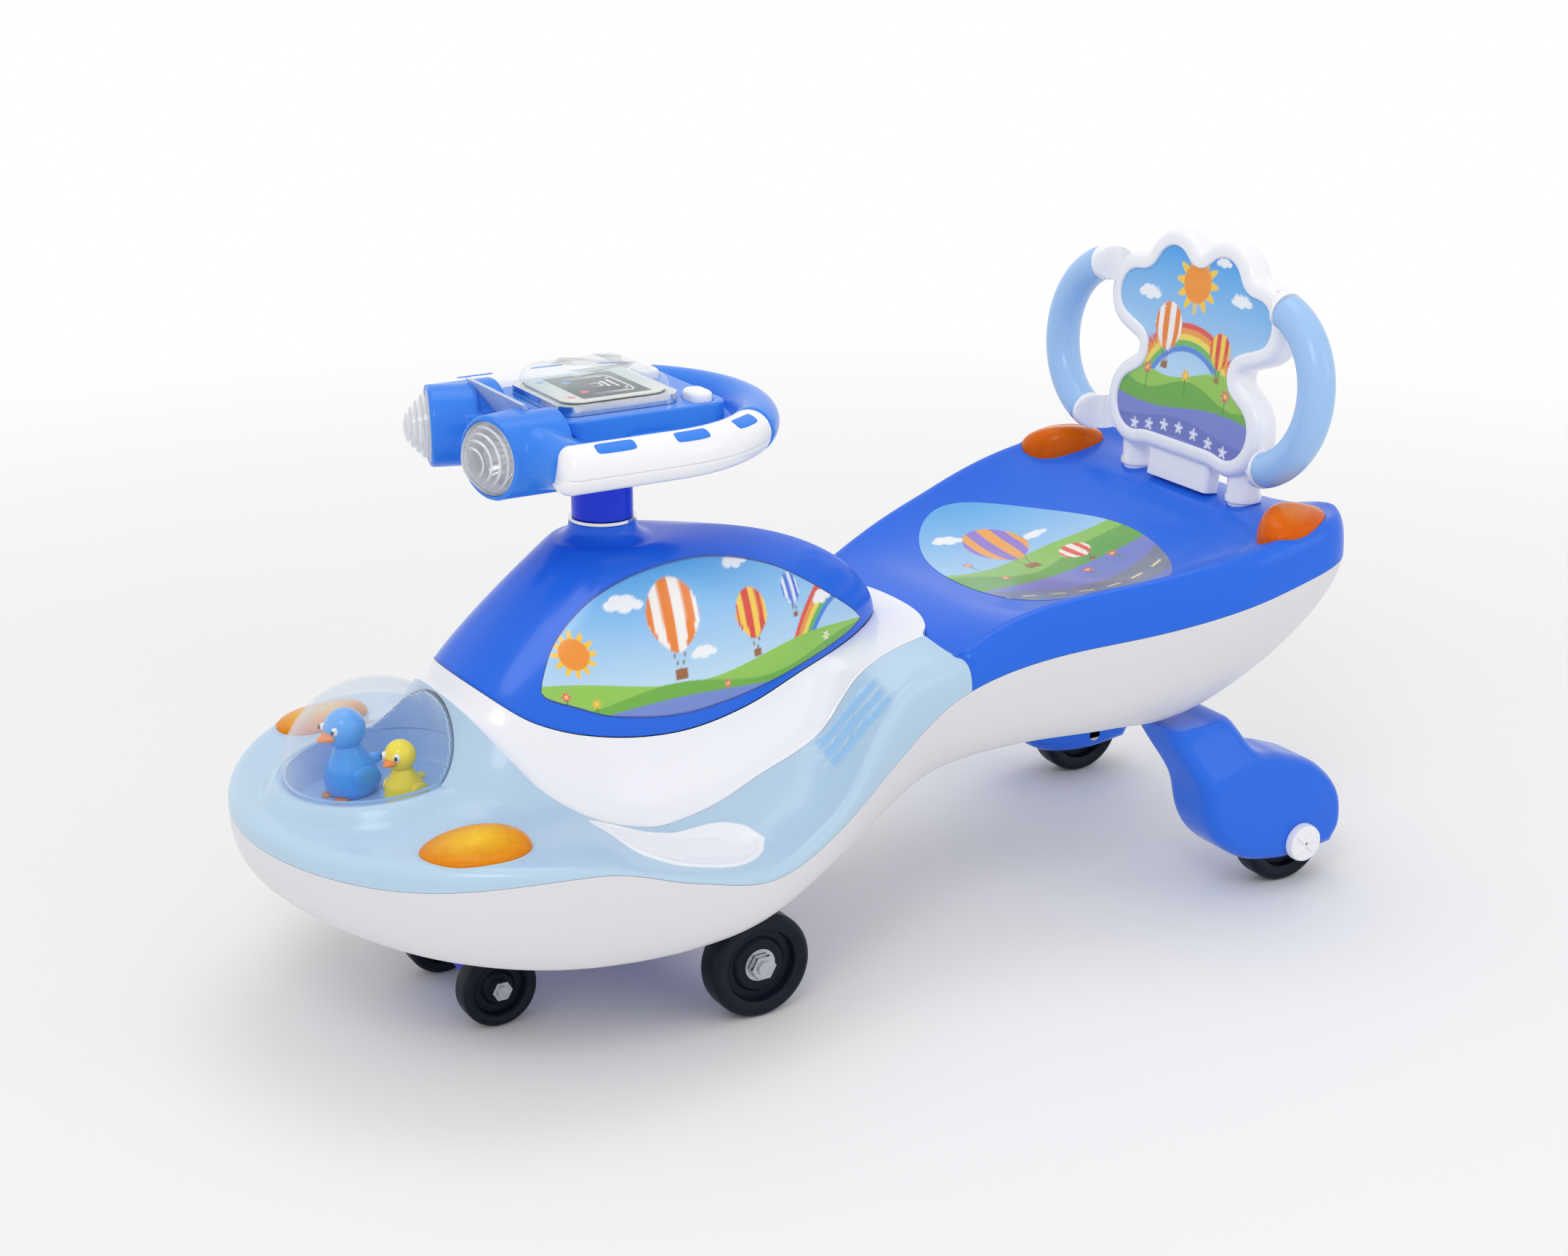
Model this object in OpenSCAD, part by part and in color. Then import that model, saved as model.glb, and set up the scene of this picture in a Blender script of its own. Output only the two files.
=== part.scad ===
// Wiggle car, a ride-on toy: moulded body, steering wheel with caster yoke, six wheels

/* [Body] */
// Distance from the middle of the car to the nose
nose_reach = 388; // [375:1:400]
// Length of the body from nose to tail
body_l = 770; // [750:1:785]
// Greatest width over the front deck
nose_w = 360; // [340:1:380]
// Width at the waist ahead of the seat
waist_w = 216; // [200:1:232]
// Greatest width over the seat
seat_w = 326; // [310:1:340]
// How far the tub draws in from rim to floor
flare = 30; // [24:1:34]
// How far the tub draws in from rim to floor under the seat
tail_flare = 50; // [42:1:54]
// Wall of the moulded shells
wall = 3; // [2.4:0.1:3.6]
// Open line between neighbouring shells
seam = 0.3; // [0.25:0.05:0.5]
// Gap between the turning front wheels and the tub floor
belly_clear = 5; // [3:0.5:9]

/* [Dome and lamps] */
// Radius of the clear dome at its foot
dome_r = 61; // [54:1:63]
// Height of the clear dome over its foot
dome_h = 56; // [48:1:60]
// Wall of the clear dome
dome_wall = 2; // [1.5:0.1:3]
// Depth of the tray under the dome
tray_depth = 26; // [20:1:32]
// Length of a front lamp
front_lamp_l = 68; // [60:1:74]
// Width of a front lamp
front_lamp_w = 50; // [44:1:54]
// Length of a rear lamp
rear_lamp_l = 64; // [54:1:70]
// Width of a rear lamp
rear_lamp_w = 42; // [34:1:46]
// Height of the lamps over the shell
lamp_rise = 9; // [5:0.5:12]

/* [Wheels] */
// Radius of the two main front wheels
big_wheel_r = 36; // [32:0.5:38]
// Tread width of the main front wheels
big_wheel_b = 22; // [18:1:24]
// Half the track of the main front wheels, to the middle of the tread
big_track = 117; // [112:1:120]
// Radius of the two guide wheels ahead of the column
small_wheel_r = 26; // [22:0.5:28]
// Tread width of the guide wheels
small_wheel_b = 18; // [14:1:20]
// Half the track of the guide wheels, to the middle of the tread
small_track = 45; // [42:1:50]
// Radius of the rear wheels
rear_wheel_r = 36; // [32:0.5:38]
// Tread width of the rear wheels
rear_wheel_b = 22; // [18:1:24]
// Half the track of the rear wheels, to the middle of the tread
rear_track = 124; // [121:1:128]
// Radius of the front and rear axles
axle_r = 5; // [4:0.25:6]
// Radius of the guide wheel axle
small_axle_r = 4; // [3:0.25:5]
// Radial play of wheels and shaft on what they turn on
play = 0.06; // [0.03:0.01:0.1]
// Radial play of pieces that are pressed or pushed in
fit = 0.03; // [0.02:0.01:0.06]
// Gap left along an axle beside a turning wheel
side_gap = 0.6; // [0.4:0.1:1]

/* [Steering] */
// Distance from the nose back to the steering column
column_back = 252; // [247:1:257]
// Distance from the column back to the main front axle
trail = 45; // [40:1:50]
// Distance from the column forward to the guide wheel axle
lead = 107; // [102:1:112]
// Radius of the steel steering shaft
shaft_r = 8; // [6:0.5:9]
// Outer radius of the moulded column over the shaft
column_r = 20; // [18:0.5:22]
// Height of the hood collar that carries the column
collar_z = 314; // [310:1:318]
// Length of column seen between the collar and the wheel
column_l = 38; // [34:1:40]
// Radius of the steering wheel rim, to its middle
rim_ring_r = 96; // [92:1:100]
// Radius of the core inside the rim grips
rim_core_r = 12; // [10:0.5:13]
// Outer radius of the grips
grip_r = 15; // [14:0.5:16]
// Width of the wheel hub
hub_w = 108; // [104:1:112]
// Height of the lower half of the hub
hub_low_h = 18; // [16:1:20]
// Height of the upper half of the hub
hub_top_h = 22; // [20:1:24]
// Outer radius of a headlight barrel
barrel_r = 26; // [23:0.5:27]
// Travel of the horn buttons
button_travel = 2; // [1:0.1:3]

/* [Backrest] */
// Lean of the backrest to the rear
lean = 6; // [4:1:9]
// Thickness of the backrest panel
back_t = 23; // [18:1:26]
// Radius of the two upper lobes of the panel
lobe_r = 33; // [28:1:36]
// Radius of the backrest grips
handle_r = 13; // [11:0.5:14]
// Radius of the bow of a backrest grip, to its middle
handle_bow = 59; // [56:1:62]
// Radius of the backrest pegs
peg_r = 11; // [9:0.5:12]
// Depth of the pegs in the seat
peg_in = 22; // [16:1:26]

/* [Hidden] */

// Colours of the mouldings
white = [0.95, 0.95, 0.95];
pale_blue = [0.66, 0.82, 0.93];
blue = [0.20, 0.42, 0.86];
deep_blue = [0.10, 0.25, 0.75];
amber = [0.93, 0.52, 0.10];
black = [0.08, 0.09, 0.12];
steel = [0.75, 0.76, 0.78];
clear = [0.85, 0.90, 0.94, 0.4];
yellow = [0.96, 0.86, 0.10];

// Facets of round solids and the overlap that joins or cuts them
round_fn = 64;
small_fn = 32;
bite = 1;
sweep = 500;
$fn = round_fn;

// Places along the car
nose_x = -nose_reach;
tail_x = nose_x + body_l;
column_x = nose_x + column_back;
nose_wide_x = nose_x + 176;
waist_x = nose_x + 463;
tail_wide_x = tail_x - 87;
arm_end_x = waist_x + 7;
big_axle_x = column_x + trail;
small_axle_x = column_x - lead;
rear_axle_x = tail_x - 36;

// Blends and curves
function mix(a, b, t) = a + (b - a) * t;
function unit(t) = max(0, min(1, t));
function ease(t) = unit(t) * unit(t) * (3 - 2 * unit(t));
function bulge(t, n) = pow(max(0, 1 - pow(unit(t), n)), 1 / n);
function tilt(p, i) =
    let (a = max(0, i - 1), b = min(len(p) - 1, i + 1))
    (p[b][1] - p[a][1]) / (p[b][0] - p[a][0]);
function through(p, x, i = 0) =
    x <= p[0][0] ? p[0][1] :
    x >= p[len(p) - 1][0] ? p[len(p) - 1][1] :
    x > p[i + 1][0] ? through(p, x, i + 1) :
    let (h = p[i + 1][0] - p[i][0], t = (x - p[i][0]) / h)
    p[i][1] * (1 + 2 * t) * pow(1 - t, 2) + p[i + 1][1] * t * t * (3 - 2 * t)
    + h * (tilt(p, i) * t * pow(1 - t, 2) - tilt(p, i + 1) * t * t * (1 - t));

// Lines of the shells: places counted from the nose, then from the tail, with heights over the floor
function along(front, rear = []) = concat(
    [for (p = front) [nose_x + p[0], p[1]]], [for (p = rear) [tail_x + p[0], p[1]]]);
belly_z = 2 * big_wheel_r + belly_clear;
rim_line = along([[-2, 146], [48, 146], [158, 152], [223, 132], [283, 117], [343, 129], [403, 155],
    [463, 185]], [[-247, 203], [-167, 217], [-87, 234], [-37, 246], [0, 254]]);
belly_rise = along([[13, 33], [88, 15], [188, 2], [248, 0], [288, 4], [338, 18], [388, 32], [448, 49]],
    [[-252, 57], [-182, 57], [-137, 59], [-97, 78], [-62, 106], [-32, 140]]);
edge_line = along([[-2, 159], [58, 162], [123, 161], [158, 156], [188, 147], [223, 137], [283, 124],
    [328, 134], [358, 150], [388, 180], [413, 198], [448, 207], [473, 210]]);
cover_line = along([[132, 217], [148, 192], [162, 174], [182, 159], [201, 150], [231, 142], [253, 142],
    [281, 146], [313, 154], [353, 164], [372, 173], [399, 200], [422, 212], [454, 220], [478, 222]]);
hood_line = along([[139, 231], [171, 208], [218, 194], [268, 189], [317, 194], [368, 205], [428, 212],
    [460, 216]]);
seat_side = along([[463, 25]], [[-247, 34], [-167, 36], [-87, 34], [-37, 31], [0, 27]]);
seat_dish = along([[463, -6], [498, 3]], [[-242, 12], [-152, 24], [-92, 18], [-57, 10], [-34, 9], [0, 15]]);
cover_plan = along([[231, 108], [281, 101], [313, 93], [353, 85], [389, 77], [422, 74], [478, 74]]);

// Half width of the body at its rim, drawn in by d
function nose_round(x, d) = x < nose_wide_x ? bulge((nose_wide_x - x) / (nose_wide_x - nose_x - d), 2) : 1;
function tail_round(x, d) = x > tail_wide_x ? bulge((x - tail_wide_x) / (tail_x - d - tail_wide_x), 5) : 1;
function front_w(x) =
    mix(nose_w, waist_w, ease(pow(unit((x - nose_wide_x) / (waist_x - nose_wide_x)), 1.4)));
function back_w(x) = mix(waist_w, seat_w, ease((x - waist_x) / (tail_wide_x - waist_x)));
function half_w(x, d = 0) =
    ((x < waist_x ? front_w(x) : back_w(x)) / 2 - d) * nose_round(x, d) * tail_round(x, d);
function rim_z(x) = through(rim_line, x);

// Half widths of the white cover and of the hood
cover_front_x = nose_x + 132;
cover_wide_x = nose_x + 231;
cover_side_w = 108;
cover_rear_w = 74;
hood_front_x = nose_x + 139;
hood_wide_x = nose_x + 248;
hood_tip_x = nose_x + 460;
hood_side_w = 77;
hood_shut_x = nose_x + 446;
function cover_w(x) =
    x < cover_wide_x ? cover_side_w * bulge((cover_wide_x - x) / (cover_wide_x - cover_front_x), 2.6) :
    through(cover_plan, x);
function hood_w(x) =
    x < hood_wide_x ? hood_side_w * bulge((hood_wide_x - x) / (hood_wide_x - hood_front_x), 2.5) :
    hood_side_w * pow(max(0, 1 - pow((x - hood_wide_x) / (hood_tip_x - hood_wide_x), 2)), 0.8);

// Stations round the rim, shared by tub, deck and seat so that their edges match
front_count = 20;
rear_count = 14;
arm_angle = acos(1 - 2 * (arm_end_x - nose_x) / body_l);
front_angles = [for (k = [0:front_count - 1]) arm_angle * sin(90 * (k + 0.5) / front_count)];
rear_angles = [for (k = [1:rear_count]) mix(arm_angle, 180, k / (rear_count + 0.5))];
rim_angles = concat(front_angles, [arm_angle], rear_angles);
function loop_x(a, d = 0) = mix(nose_x + d, tail_x - d, (1 - cos(a)) / 2);
function both(h) = concat(h, [for (k = [len(h) - 1:-1:0]) [h[k].x, -h[k].y, h[k].z]]);

// Closed skin over rings of points; the ends are shut by ladders of triangles or run into each other
function quad(a, b, c, d) = [[a, b, c], [a, c, d]];
function ladder(n, start) =
    [for (k = [0:n / 2 - 2]) each quad(start + k, start + n - 1 - k, start + n - 2 - k, start + k + 1)];
function flip(faces) = [for (f = faces) [f[0], f[2], f[1]]];
module skin(rings, endless = false, inside_out = false) {
    m = len(rings);
    n = len(rings[0]);
    sides = [for (i = [0:m - (endless ? 1 : 2)], k = [0:n - 1])
        let (j = (i + 1) % m, l = (k + 1) % n)
        each quad(i * n + k, i * n + l, j * n + l, j * n + k)];
    ends = endless ? [] : concat(ladder(n, 0), flip(ladder(n, (m - 1) * n)));
    faces = concat(sides, ends);
    polyhedron([for (r = rings) each r], inside_out ? flip(faces) : faces, convexity = 12);
}

// Lower tub
side_fall = 0.8;
tail_fall = 1.35;
function toward_tail(x) = ease((x - waist_x) / (tail_wide_x - waist_x));
function tub_point(a, q, d) =
    let (rx = loop_x(a, d), t = toward_tail(rx), f = mix(flare, tail_flare, t) + d, bx = loop_x(a, f),
        e = mix(side_fall, tail_fall, t * t), h = 1 - pow(cos(q), e), v = pow(sin(q), e))
    [mix(rx, bx, h), -mix(half_w(rx, d), half_w(bx, f), h),
        mix(rim_z(rx), belly_z + through(belly_rise, bx) + d, v)];
function tub_ring(q, d) = both([for (a = rim_angles) tub_point(a, q, d)]);
bush_r = 15;
module lower_tub() {
    color(white)
    difference() {
        skin(concat([for (q = [90, 70, 50, 30, 12, 0]) tub_ring(q, 0)],
            [for (q = [0, 30, 60, 90]) tub_ring(q, wall)]), inside_out = true);
        translate([column_x, 0, 0])
        cylinder(r = bush_r + fit, h = belly_z + sweep / 5);
        for (s = [-1, 1])
            translate([leg_bolt_x, s * leg_bolt_y, 0])
            cylinder(r = leg_bolt_r + fit, h = rim_z(leg_bolt_x));
    }
}

// Front deck with the two shoulders
well_x = nose_x + 238;
bow_x = nose_x + 388;
arm_sweep = 16;
roll = 12;
deck_roll = [[5, 0.88], [1.5, 0.6], [0, 0]];
deck_under = [[0, 0], [1.5, 0.45], [5, 0.68]];
function inner_x(x) =
    x < well_x ? mix(cover_front_x, well_x, unit((x - nose_x) / (well_x - nose_x))) :
    x - arm_sweep * pow(max(0, (x - bow_x) / (arm_end_x - bow_x)), 2);
function deck_point(a, t, drop, side) =
    let (x = loop_x(a), xi = inner_x(x), yi = cover_w(xi) + seam, zi = through(cover_line, xi),
        ze = through(edge_line, x), reach = norm([x - xi, half_w(x) - yi]), stop = 1 - roll / reach,
        bend = mix(3, 1.2, ease((x - well_x) / (bow_x - well_x))))
    [mix(xi, x, t * stop), side * mix(yi, half_w(x), t * stop), ze + (zi - ze) * pow(1 - t, bend) - drop];
function edge_point(a, back, share, side) =
    let (x = loop_x(a), xi = inner_x(x), yi = cover_w(xi) + seam,
        reach = norm([x - xi, half_w(x) - yi]), t = 1 - back / reach, zr = rim_z(x) + seam)
    [mix(xi, x, t), side * mix(yi, half_w(x), t), mix(zr, through(edge_line, x), share)];
function deck_section(a, side) = concat(
    [for (t = [0, 0.2, 0.4, 0.6, 0.8, 1]) deck_point(a, t, 0, side)],
    [for (p = deck_roll) edge_point(a, p[0], p[1], side)],
    [for (p = deck_under) edge_point(a, wall + p[0], p[1], side)],
    [for (t = [1, 0.8, 0.6, 0.4, 0.2, 0]) deck_point(a, t, wall, side)]);
deck_angles = concat(front_angles, [arm_angle]);
module deck_shell() {
    skin(concat([for (k = [front_count:-1:0]) deck_section(deck_angles[k], -1)],
        [for (k = [0:front_count]) deck_section(deck_angles[k], 1)]));
}
module front_deck() {
    color(pale_blue)
    difference() {
        deck_shell();
        on_dome() {
            translate([0, 0, -sweep])
            cylinder(r = dome_r + tray_lip + seam, h = sweep);
            translate([0, 0, -bite])
            cap(dome_r + seam, dome_ball + seam, dome_h + seam + bite);
        }
        for (s = [-1, 1]) {
            lamp_cut(front_lamp_x, s * front_lamp_y, front_lamp_l, front_lamp_w, s * front_lamp_turn);
            pad_block(s, seam);
            for (k = [0:scoop_count - 1])
                scoop(s, scoop_y + k * scoop_pitch);
        }
    }
}

// Scooped channels on the front slope of each shoulder
scoop_count = 3;
scoop_y = 89;
scoop_pitch = 10;
scoop_w = 8.5;
scoop_l = 44;
scoop_deep = 2;
scoop_high = 20;
scoop_slope = 42;
scoop_twist = 8;
scoop_x = nose_x + 381;
scoop_z = 179;
module scoop(s, y) {
    mirror([0, s < 0 ? 1 : 0, 0])
    translate([scoop_x, y, scoop_z])
    rotate([0, -scoop_slope, 0])
    rotate([scoop_twist, 0, 0])
    translate([-scoop_l / 2, -scoop_w / 2, -scoop_deep])
    cube([scoop_l, scoop_w, scoop_high]);
}

// White centre cover between the deck and the hood
rear_ys = [6, 20, 40, 60];
seat_front = [[0, waist_x + 15], [20, waist_x + 14], [40, waist_x + 10], [60, waist_x + 1],
    [cover_rear_w, waist_x - 9], [waist_w / 2, arm_end_x]];
function cover_edge() = concat(
    [for (a = deck_angles) let (x = inner_x(loop_x(a))) [x, -cover_w(x), through(cover_line, x)]],
    [for (k = [len(rear_ys) - 1:-1:0]) let (x = lookup(rear_ys[k], seat_front))
        [x - seam, -rear_ys[k], through(cover_line, x)]]);
function hood_x(k, x) =
    k > front_count ? mix(hood_shut_x, hood_tip_x, (k - front_count) / (len(rear_ys) + 0.2)) :
    let (rear_x = lookup(cover_rear_w, seat_front))
    mix(hood_front_x, hood_shut_x, (x - cover_front_x) / (rear_x - cover_front_x));
function hood_edge() =
    let (c = cover_edge())
    [for (k = [0:len(c) - 1]) let (x = hood_x(k, c[k].x)) [x, -hood_w(x), through(hood_line, x)]];
function inward(p, d) =
    let (v = [column_x - p.x, -p.y], n = max(1, norm(v)))
    [p.x + v.x / n * d, p.y + v.y / n * d, p.z];
function cover_ring(t, d) =
    let (h = hood_edge(), c = cover_edge())
    both([for (k = [0:len(c) - 1])
        let (p = mix(h[k], c[k], t), q = inward(p, d))
        [q.x, q.y, mix(h[k].z - seam, c[k].z, 1 - pow(1 - t, 1.7)) - d]]);
cover_wall = 2.1;
module centre_cover() {
    color(white)
    skin(concat([for (t = [0, 0.15, 0.4, 0.7, 1]) cover_ring(t, 0)],
        [for (t = [1, 0.7, 0.4, 0]) cover_ring(t, cover_wall)]), endless = true);
}

// Hood with the collar of the steering column
hood_top_z = collar_z - 5;
hood_fall_front = 1.35;
hood_fall_rear = 1.1;
hood_top_r = 30;
collar_r = column_r + 2;
upper_bush_r = 14;
bush_l = 30;
function hood_ring(q, d) =
    both([for (p = hood_edge())
        let (v = [p.x - column_x, p.y], u = v / norm(v),
            t = [column_x + u.x * hood_top_r, u.y * hood_top_r, hood_top_z],
            e = mix(hood_fall_front, hood_fall_rear, (u.x + 1) / 2),
            h = 1 - pow(cos(q), e), v2 = pow(sin(q), e),
            w = inward([mix(p.x, t.x, h), mix(p.y, t.y, h), 0], q == 0 ? d : d * cos(q) * 0.8))
        [w.x, w.y, mix(p.z, t.z, v2) - d * v2]]);
module hood() {
    color(blue)
    difference() {
        union() {
            skin(concat([for (q = [0, 18, 36, 54, 72, 90]) hood_ring(q, 0)],
                [for (q = [90, 60, 30, 0]) hood_ring(q, wall)]), endless = true, inside_out = true);
            translate([column_x, 0, hood_top_z - wall])
            cylinder(r = hood_top_r + bite, h = wall);
            translate([column_x, 0, collar_z - bush_l])
            cylinder(r = collar_r, h = bush_l);
        }
        translate([column_x, 0, collar_z - bush_l - bite])
        cylinder(r = upper_bush_r + fit, h = bush_l + 2 * bite);
    }
}

// Seat cover
crest = 12;
function seat_crest(x) = rim_z(x) + through(seat_side, x);
function seat_z(x, y) =
    seat_crest(x) - through(seat_dish, x) * (1 - pow(unit(abs(y) / (half_w(x) - crest)), 2.4));
seat_roll = [[0, 0], [1.5, 0.6], [5, 0.9], [crest, 1]];
seat_ys = [86, 74, 60, 40, 20];
seat_tail = [crest, 5, 1.5, 0.4];
seat_count = 16;
function seat_x(k) =
    let (tail_k = k - seat_count + len(seat_tail) - 1)
    tail_k >= 0 ? tail_x - seat_tail[tail_k] :
    mix(arm_end_x, tail_x - crest, pow(k / (seat_count - len(seat_tail) + 1), 0.9));
function seat_point(k, y0, inset, d) =
    let (xk = seat_x(k), xs = xk - d * unit((xk - tail_wide_x) / (tail_x - tail_wide_x)), w = half_w(xs, d),
        y = inset < 0 ? abs(y0) * (w - crest) / (waist_w / 2 - crest) : w - inset,
        x = xs + seam + (lookup(y, seat_front) - arm_end_x) * (1 - ease(k / 6)),
        far = min(w - y, tail_x - d - xs), z = seat_z(x, y) - d)
    [x, sign(y0) * y, mix(rim_z(x) + seam, z, through(seat_roll, far))];
function seat_half(k, side, d) = concat(
    [for (r = seat_roll) seat_point(k, side, r[0], d)], [for (y = seat_ys) seat_point(k, side * y, -1, d)]);
function seat_row(k, d) =
    let (a = seat_half(k, -1, d), b = seat_half(k, 1, d))
    concat(a, [seat_point(k, 0, -1, d)], [for (i = [len(b) - 1:-1:0]) b[i]]);
function seat_section(k) =
    let (low = seat_row(k, wall))
    concat(seat_row(k, 0), [for (i = [len(low) - 1:-1:0]) low[i]]);
module seat_cover() {
    color(blue)
    difference() {
        skin([for (k = [0:seat_count]) seat_section(k)]);
        for (s = [-1, 1]) {
            translate([peg_x, s * peg_y, seat_top_z - sweep / 10])
            cylinder(r = peg_r + fit, h = sweep / 5);
            lamp_cut(rear_lamp_x, s * rear_lamp_y, rear_lamp_l, rear_lamp_w, -s * rear_lamp_turn);
        }
    }
}

// Oval lamps set into the deck and the seat corners
front_lamp_x = nose_x + 100;
front_lamp_y = half_w(front_lamp_x) - 36;
front_lamp_z = 170;
front_lamp_turn = 18;
front_lamp_pitch = 8;
front_lamp_roll = 12;
rear_lamp_x = tail_x - 50;
rear_lamp_y = half_w(rear_lamp_x) - 24;
rear_lamp_z = seat_crest(rear_lamp_x);
rear_lamp_turn = 24;
lamp_foot = 12;
lamp_fn = 28;
rear_lamp_roll = 20;
lamp_shape = [[0.92, 0.4], [0.75, 0.72], [0.5, 0.9], [0.25, 1]];
function oval(l, w) = [for (k = [0:lamp_fn - 1])
    let (a = 360 * (k + 0.5) / lamp_fn)
    [l / 2 * cos(a), w / 2 * sin(a)]];
module lamp_cut(x, y, l, w, turn) {
    translate([x, y, 0])
    rotate(turn)
    linear_extrude(sweep)
    polygon(oval(l + 2 * seam, w + 2 * seam));
}
module lamp(l, w, pitch, roll_a) {
    function ring(share, z) = [for (p = oval(l, w)) let (q = p * share)
        [q.x, q.y, z - q.x * tan(pitch) - q.y * tan(roll_a)]];
    skin(concat([ring(1, -lamp_foot), ring(1, 0)], [for (p = lamp_shape) ring(p[0], p[1] * lamp_rise)]),
        inside_out = true);
}
module front_lamp(s) {
    color(amber)
    translate([front_lamp_x, s * front_lamp_y, front_lamp_z])
    rotate(s * front_lamp_turn)
    lamp(front_lamp_l, front_lamp_w, -front_lamp_pitch, s * front_lamp_roll);
}
module rear_lamp(s) {
    color(amber)
    translate([rear_lamp_x, s * rear_lamp_y, rear_lamp_z])
    rotate(-s * rear_lamp_turn)
    lamp(rear_lamp_l, rear_lamp_w, 0, s * rear_lamp_roll);
}
module front_lamp_left() { front_lamp(1); }
module front_lamp_right() { front_lamp(-1); }
module rear_lamp_left() { rear_lamp(1); }
module rear_lamp_right() { rear_lamp(-1); }

// Foot pads let into the deck and flush with it
pad_inner = along([[183, 110], [208, 117], [236, 116], [271, 112], [291, 118], [297, 129]]);
pad_outer = along([[183, 112], [192, 145], [208, 159], [228, 163], [263, 157], [288, 143], [297, 131]]);
pad_count = 12;
pad_x0 = pad_inner[0][0];
pad_x1 = pad_inner[len(pad_inner) - 1][0];
function pad_at(k, grow = 0) = mix(pad_x0 - grow, pad_x1 + grow, (1 - cos(180 * k / pad_count)) / 2);
module pad_block(s, grow) {
    inner = [for (k = [0:pad_count]) [pad_at(k, grow), through(pad_inner, pad_at(k)) - grow]];
    outer = [for (k = [pad_count:-1:0]) [pad_at(k, grow), through(pad_outer, pad_at(k)) + grow]];
    mirror([0, s < 0 ? 1 : 0, 0])
    linear_extrude(sweep)
    polygon(concat(inner, outer));
}
module foot_pad(s) {
    color(white)
    intersection() {
        deck_shell();
        pad_block(s, 0);
    }
}
module foot_pad_left() { foot_pad(1); }
module foot_pad_right() { foot_pad(-1); }

// Display dome on its tray with two toy birds
dome_x = nose_x + 89;
dome_z = 176;
dome_pitch = 5;
tray_lip = 4;
dome_ball = (dome_r * dome_r + dome_h * dome_h) / (2 * dome_h);
module on_dome() {
    translate([dome_x, 0, dome_z])
    rotate([0, -dome_pitch, 0])
    children();
}
module cap(r, ball, h) {
    intersection() {
        translate([0, 0, h - ball])
        sphere(ball);
        cylinder(r = r + bite, h = h + bite);
    }
}
module display_dome() {
    color(clear)
    on_dome()
    difference() {
        cap(dome_r, dome_ball, dome_h);
        translate([0, 0, -bite])
        cap(dome_r, dome_ball - dome_wall, dome_h - dome_wall + bite);
    }
}
module display_tray() {
    color(pale_blue)
    on_dome()
    difference() {
        translate([0, 0, -tray_depth])
        cylinder(r = dome_r + tray_lip, h = tray_depth - seam);
        translate([0, 0, wall - tray_depth])
        cylinder(r = dome_r - dome_wall - bite, h = tray_depth);
    }
}
bird_head = 0.27;
bird_body = 0.33;
bird_sink = 0.03;
bird_lift = 0.9;
neck_from = 0.4;
neck_h = 0.25;
neck_share = 0.8;
beak_out = 0.7;
beak_low = 1.1;
beak_l = 0.9;
beak_wide = 0.5;
beak_tip = 0.1;
module bird(size) {
    head = size * bird_head;
    body = size * bird_body;
    translate([0, 0, -size * bird_sink])
    difference() {
        union() {
            translate([0, 0, body * bird_lift])
            sphere(body, $fn = small_fn);
            translate([0, 0, size - head])
            sphere(head, $fn = small_fn);
            translate([0, 0, size * neck_from])
            cylinder(r1 = body * neck_share, r2 = head * neck_share, h = size * neck_h, $fn = small_fn);
            translate([-head * beak_out, 0, size - head * beak_low])
            rotate([0, -90, 0])
            cylinder(r1 = head * beak_wide, r2 = head * beak_tip, h = head * beak_l, $fn = small_fn);
        }
        translate([0, 0, size * bird_sink - sweep / 2])
        cube(sweep, center = true);
    }
}
module on_tray(at, turn) {
    on_dome()
    translate([at.x, at.y, wall - tray_depth])
    rotate(turn)
    children();
}
tall_bird = 58;
tall_at = [-11, 20];
tall_turn = 10;
small_bird = 44;
small_at = [9, -20];
small_turn = 25;
module figure_tall() {
    color(blue)
    on_tray(tall_at, tall_turn)
    bird(tall_bird);
}
module figure_small() {
    color(yellow)
    on_tray(small_at, small_turn)
    bird(small_bird);
}

// Backrest panel, pegs and grips
peg_x = tail_x - 34;
peg_y = 61;
seat_top_z = seat_z(peg_x, peg_y);
back_foot = 20;
side_lobe_r = 30;
base_lobe_r = 34;
rim_band = 9;
print_depth = 2;
module on_back() {
    translate([peg_x, 0, seat_top_z + back_foot])
    rotate([0, lean, 0])
    children();
}
lobes = [[130, 28, lobe_r], [110, 64, side_lobe_r], [31, 53, base_lobe_r]];
panel_mid = 72;
panel_top = 130;
panel_half = 58;
panel_fn = 120;
tiny = 0.001;
panel_core_r = 6;
panel_edge = 8;
edge_steps = 4;
function lobe_reach(c, r, u) =
    let (ahead = c * u, off = c * c - ahead * ahead)
    off < r * r ? ahead + sqrt(r * r - off) : 0;
function panel_reach(a) =
    let (u = [sin(a), cos(a)], side = panel_half / max(tiny, abs(u.y)),
        end = (u.x > 0 ? panel_top - panel_mid : panel_mid) / max(tiny, abs(u.x)))
    max(concat([min(side, end)],
        [for (l = lobes, s = [-1, 1]) lobe_reach([l[0] - panel_mid, s * l[1]], l[2], u)]));
function panel_point(k) =
    let (a = 360 * (k + 0.5) / panel_fn, step = 120 / panel_fn,
        r = (panel_reach(a - step) + panel_reach(a) + panel_reach(a + step)) / 3)
    [panel_mid + r * sin(a), r * cos(a)];
function panel_ring(x, less) = [for (k = [0:panel_fn - 1])
    let (d = panel_point(k + 1) - panel_point(k - 1), p = panel_point(k) + less / norm(d) * [d.y, -d.x])
    [x, p.y, p.x]];
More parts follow.
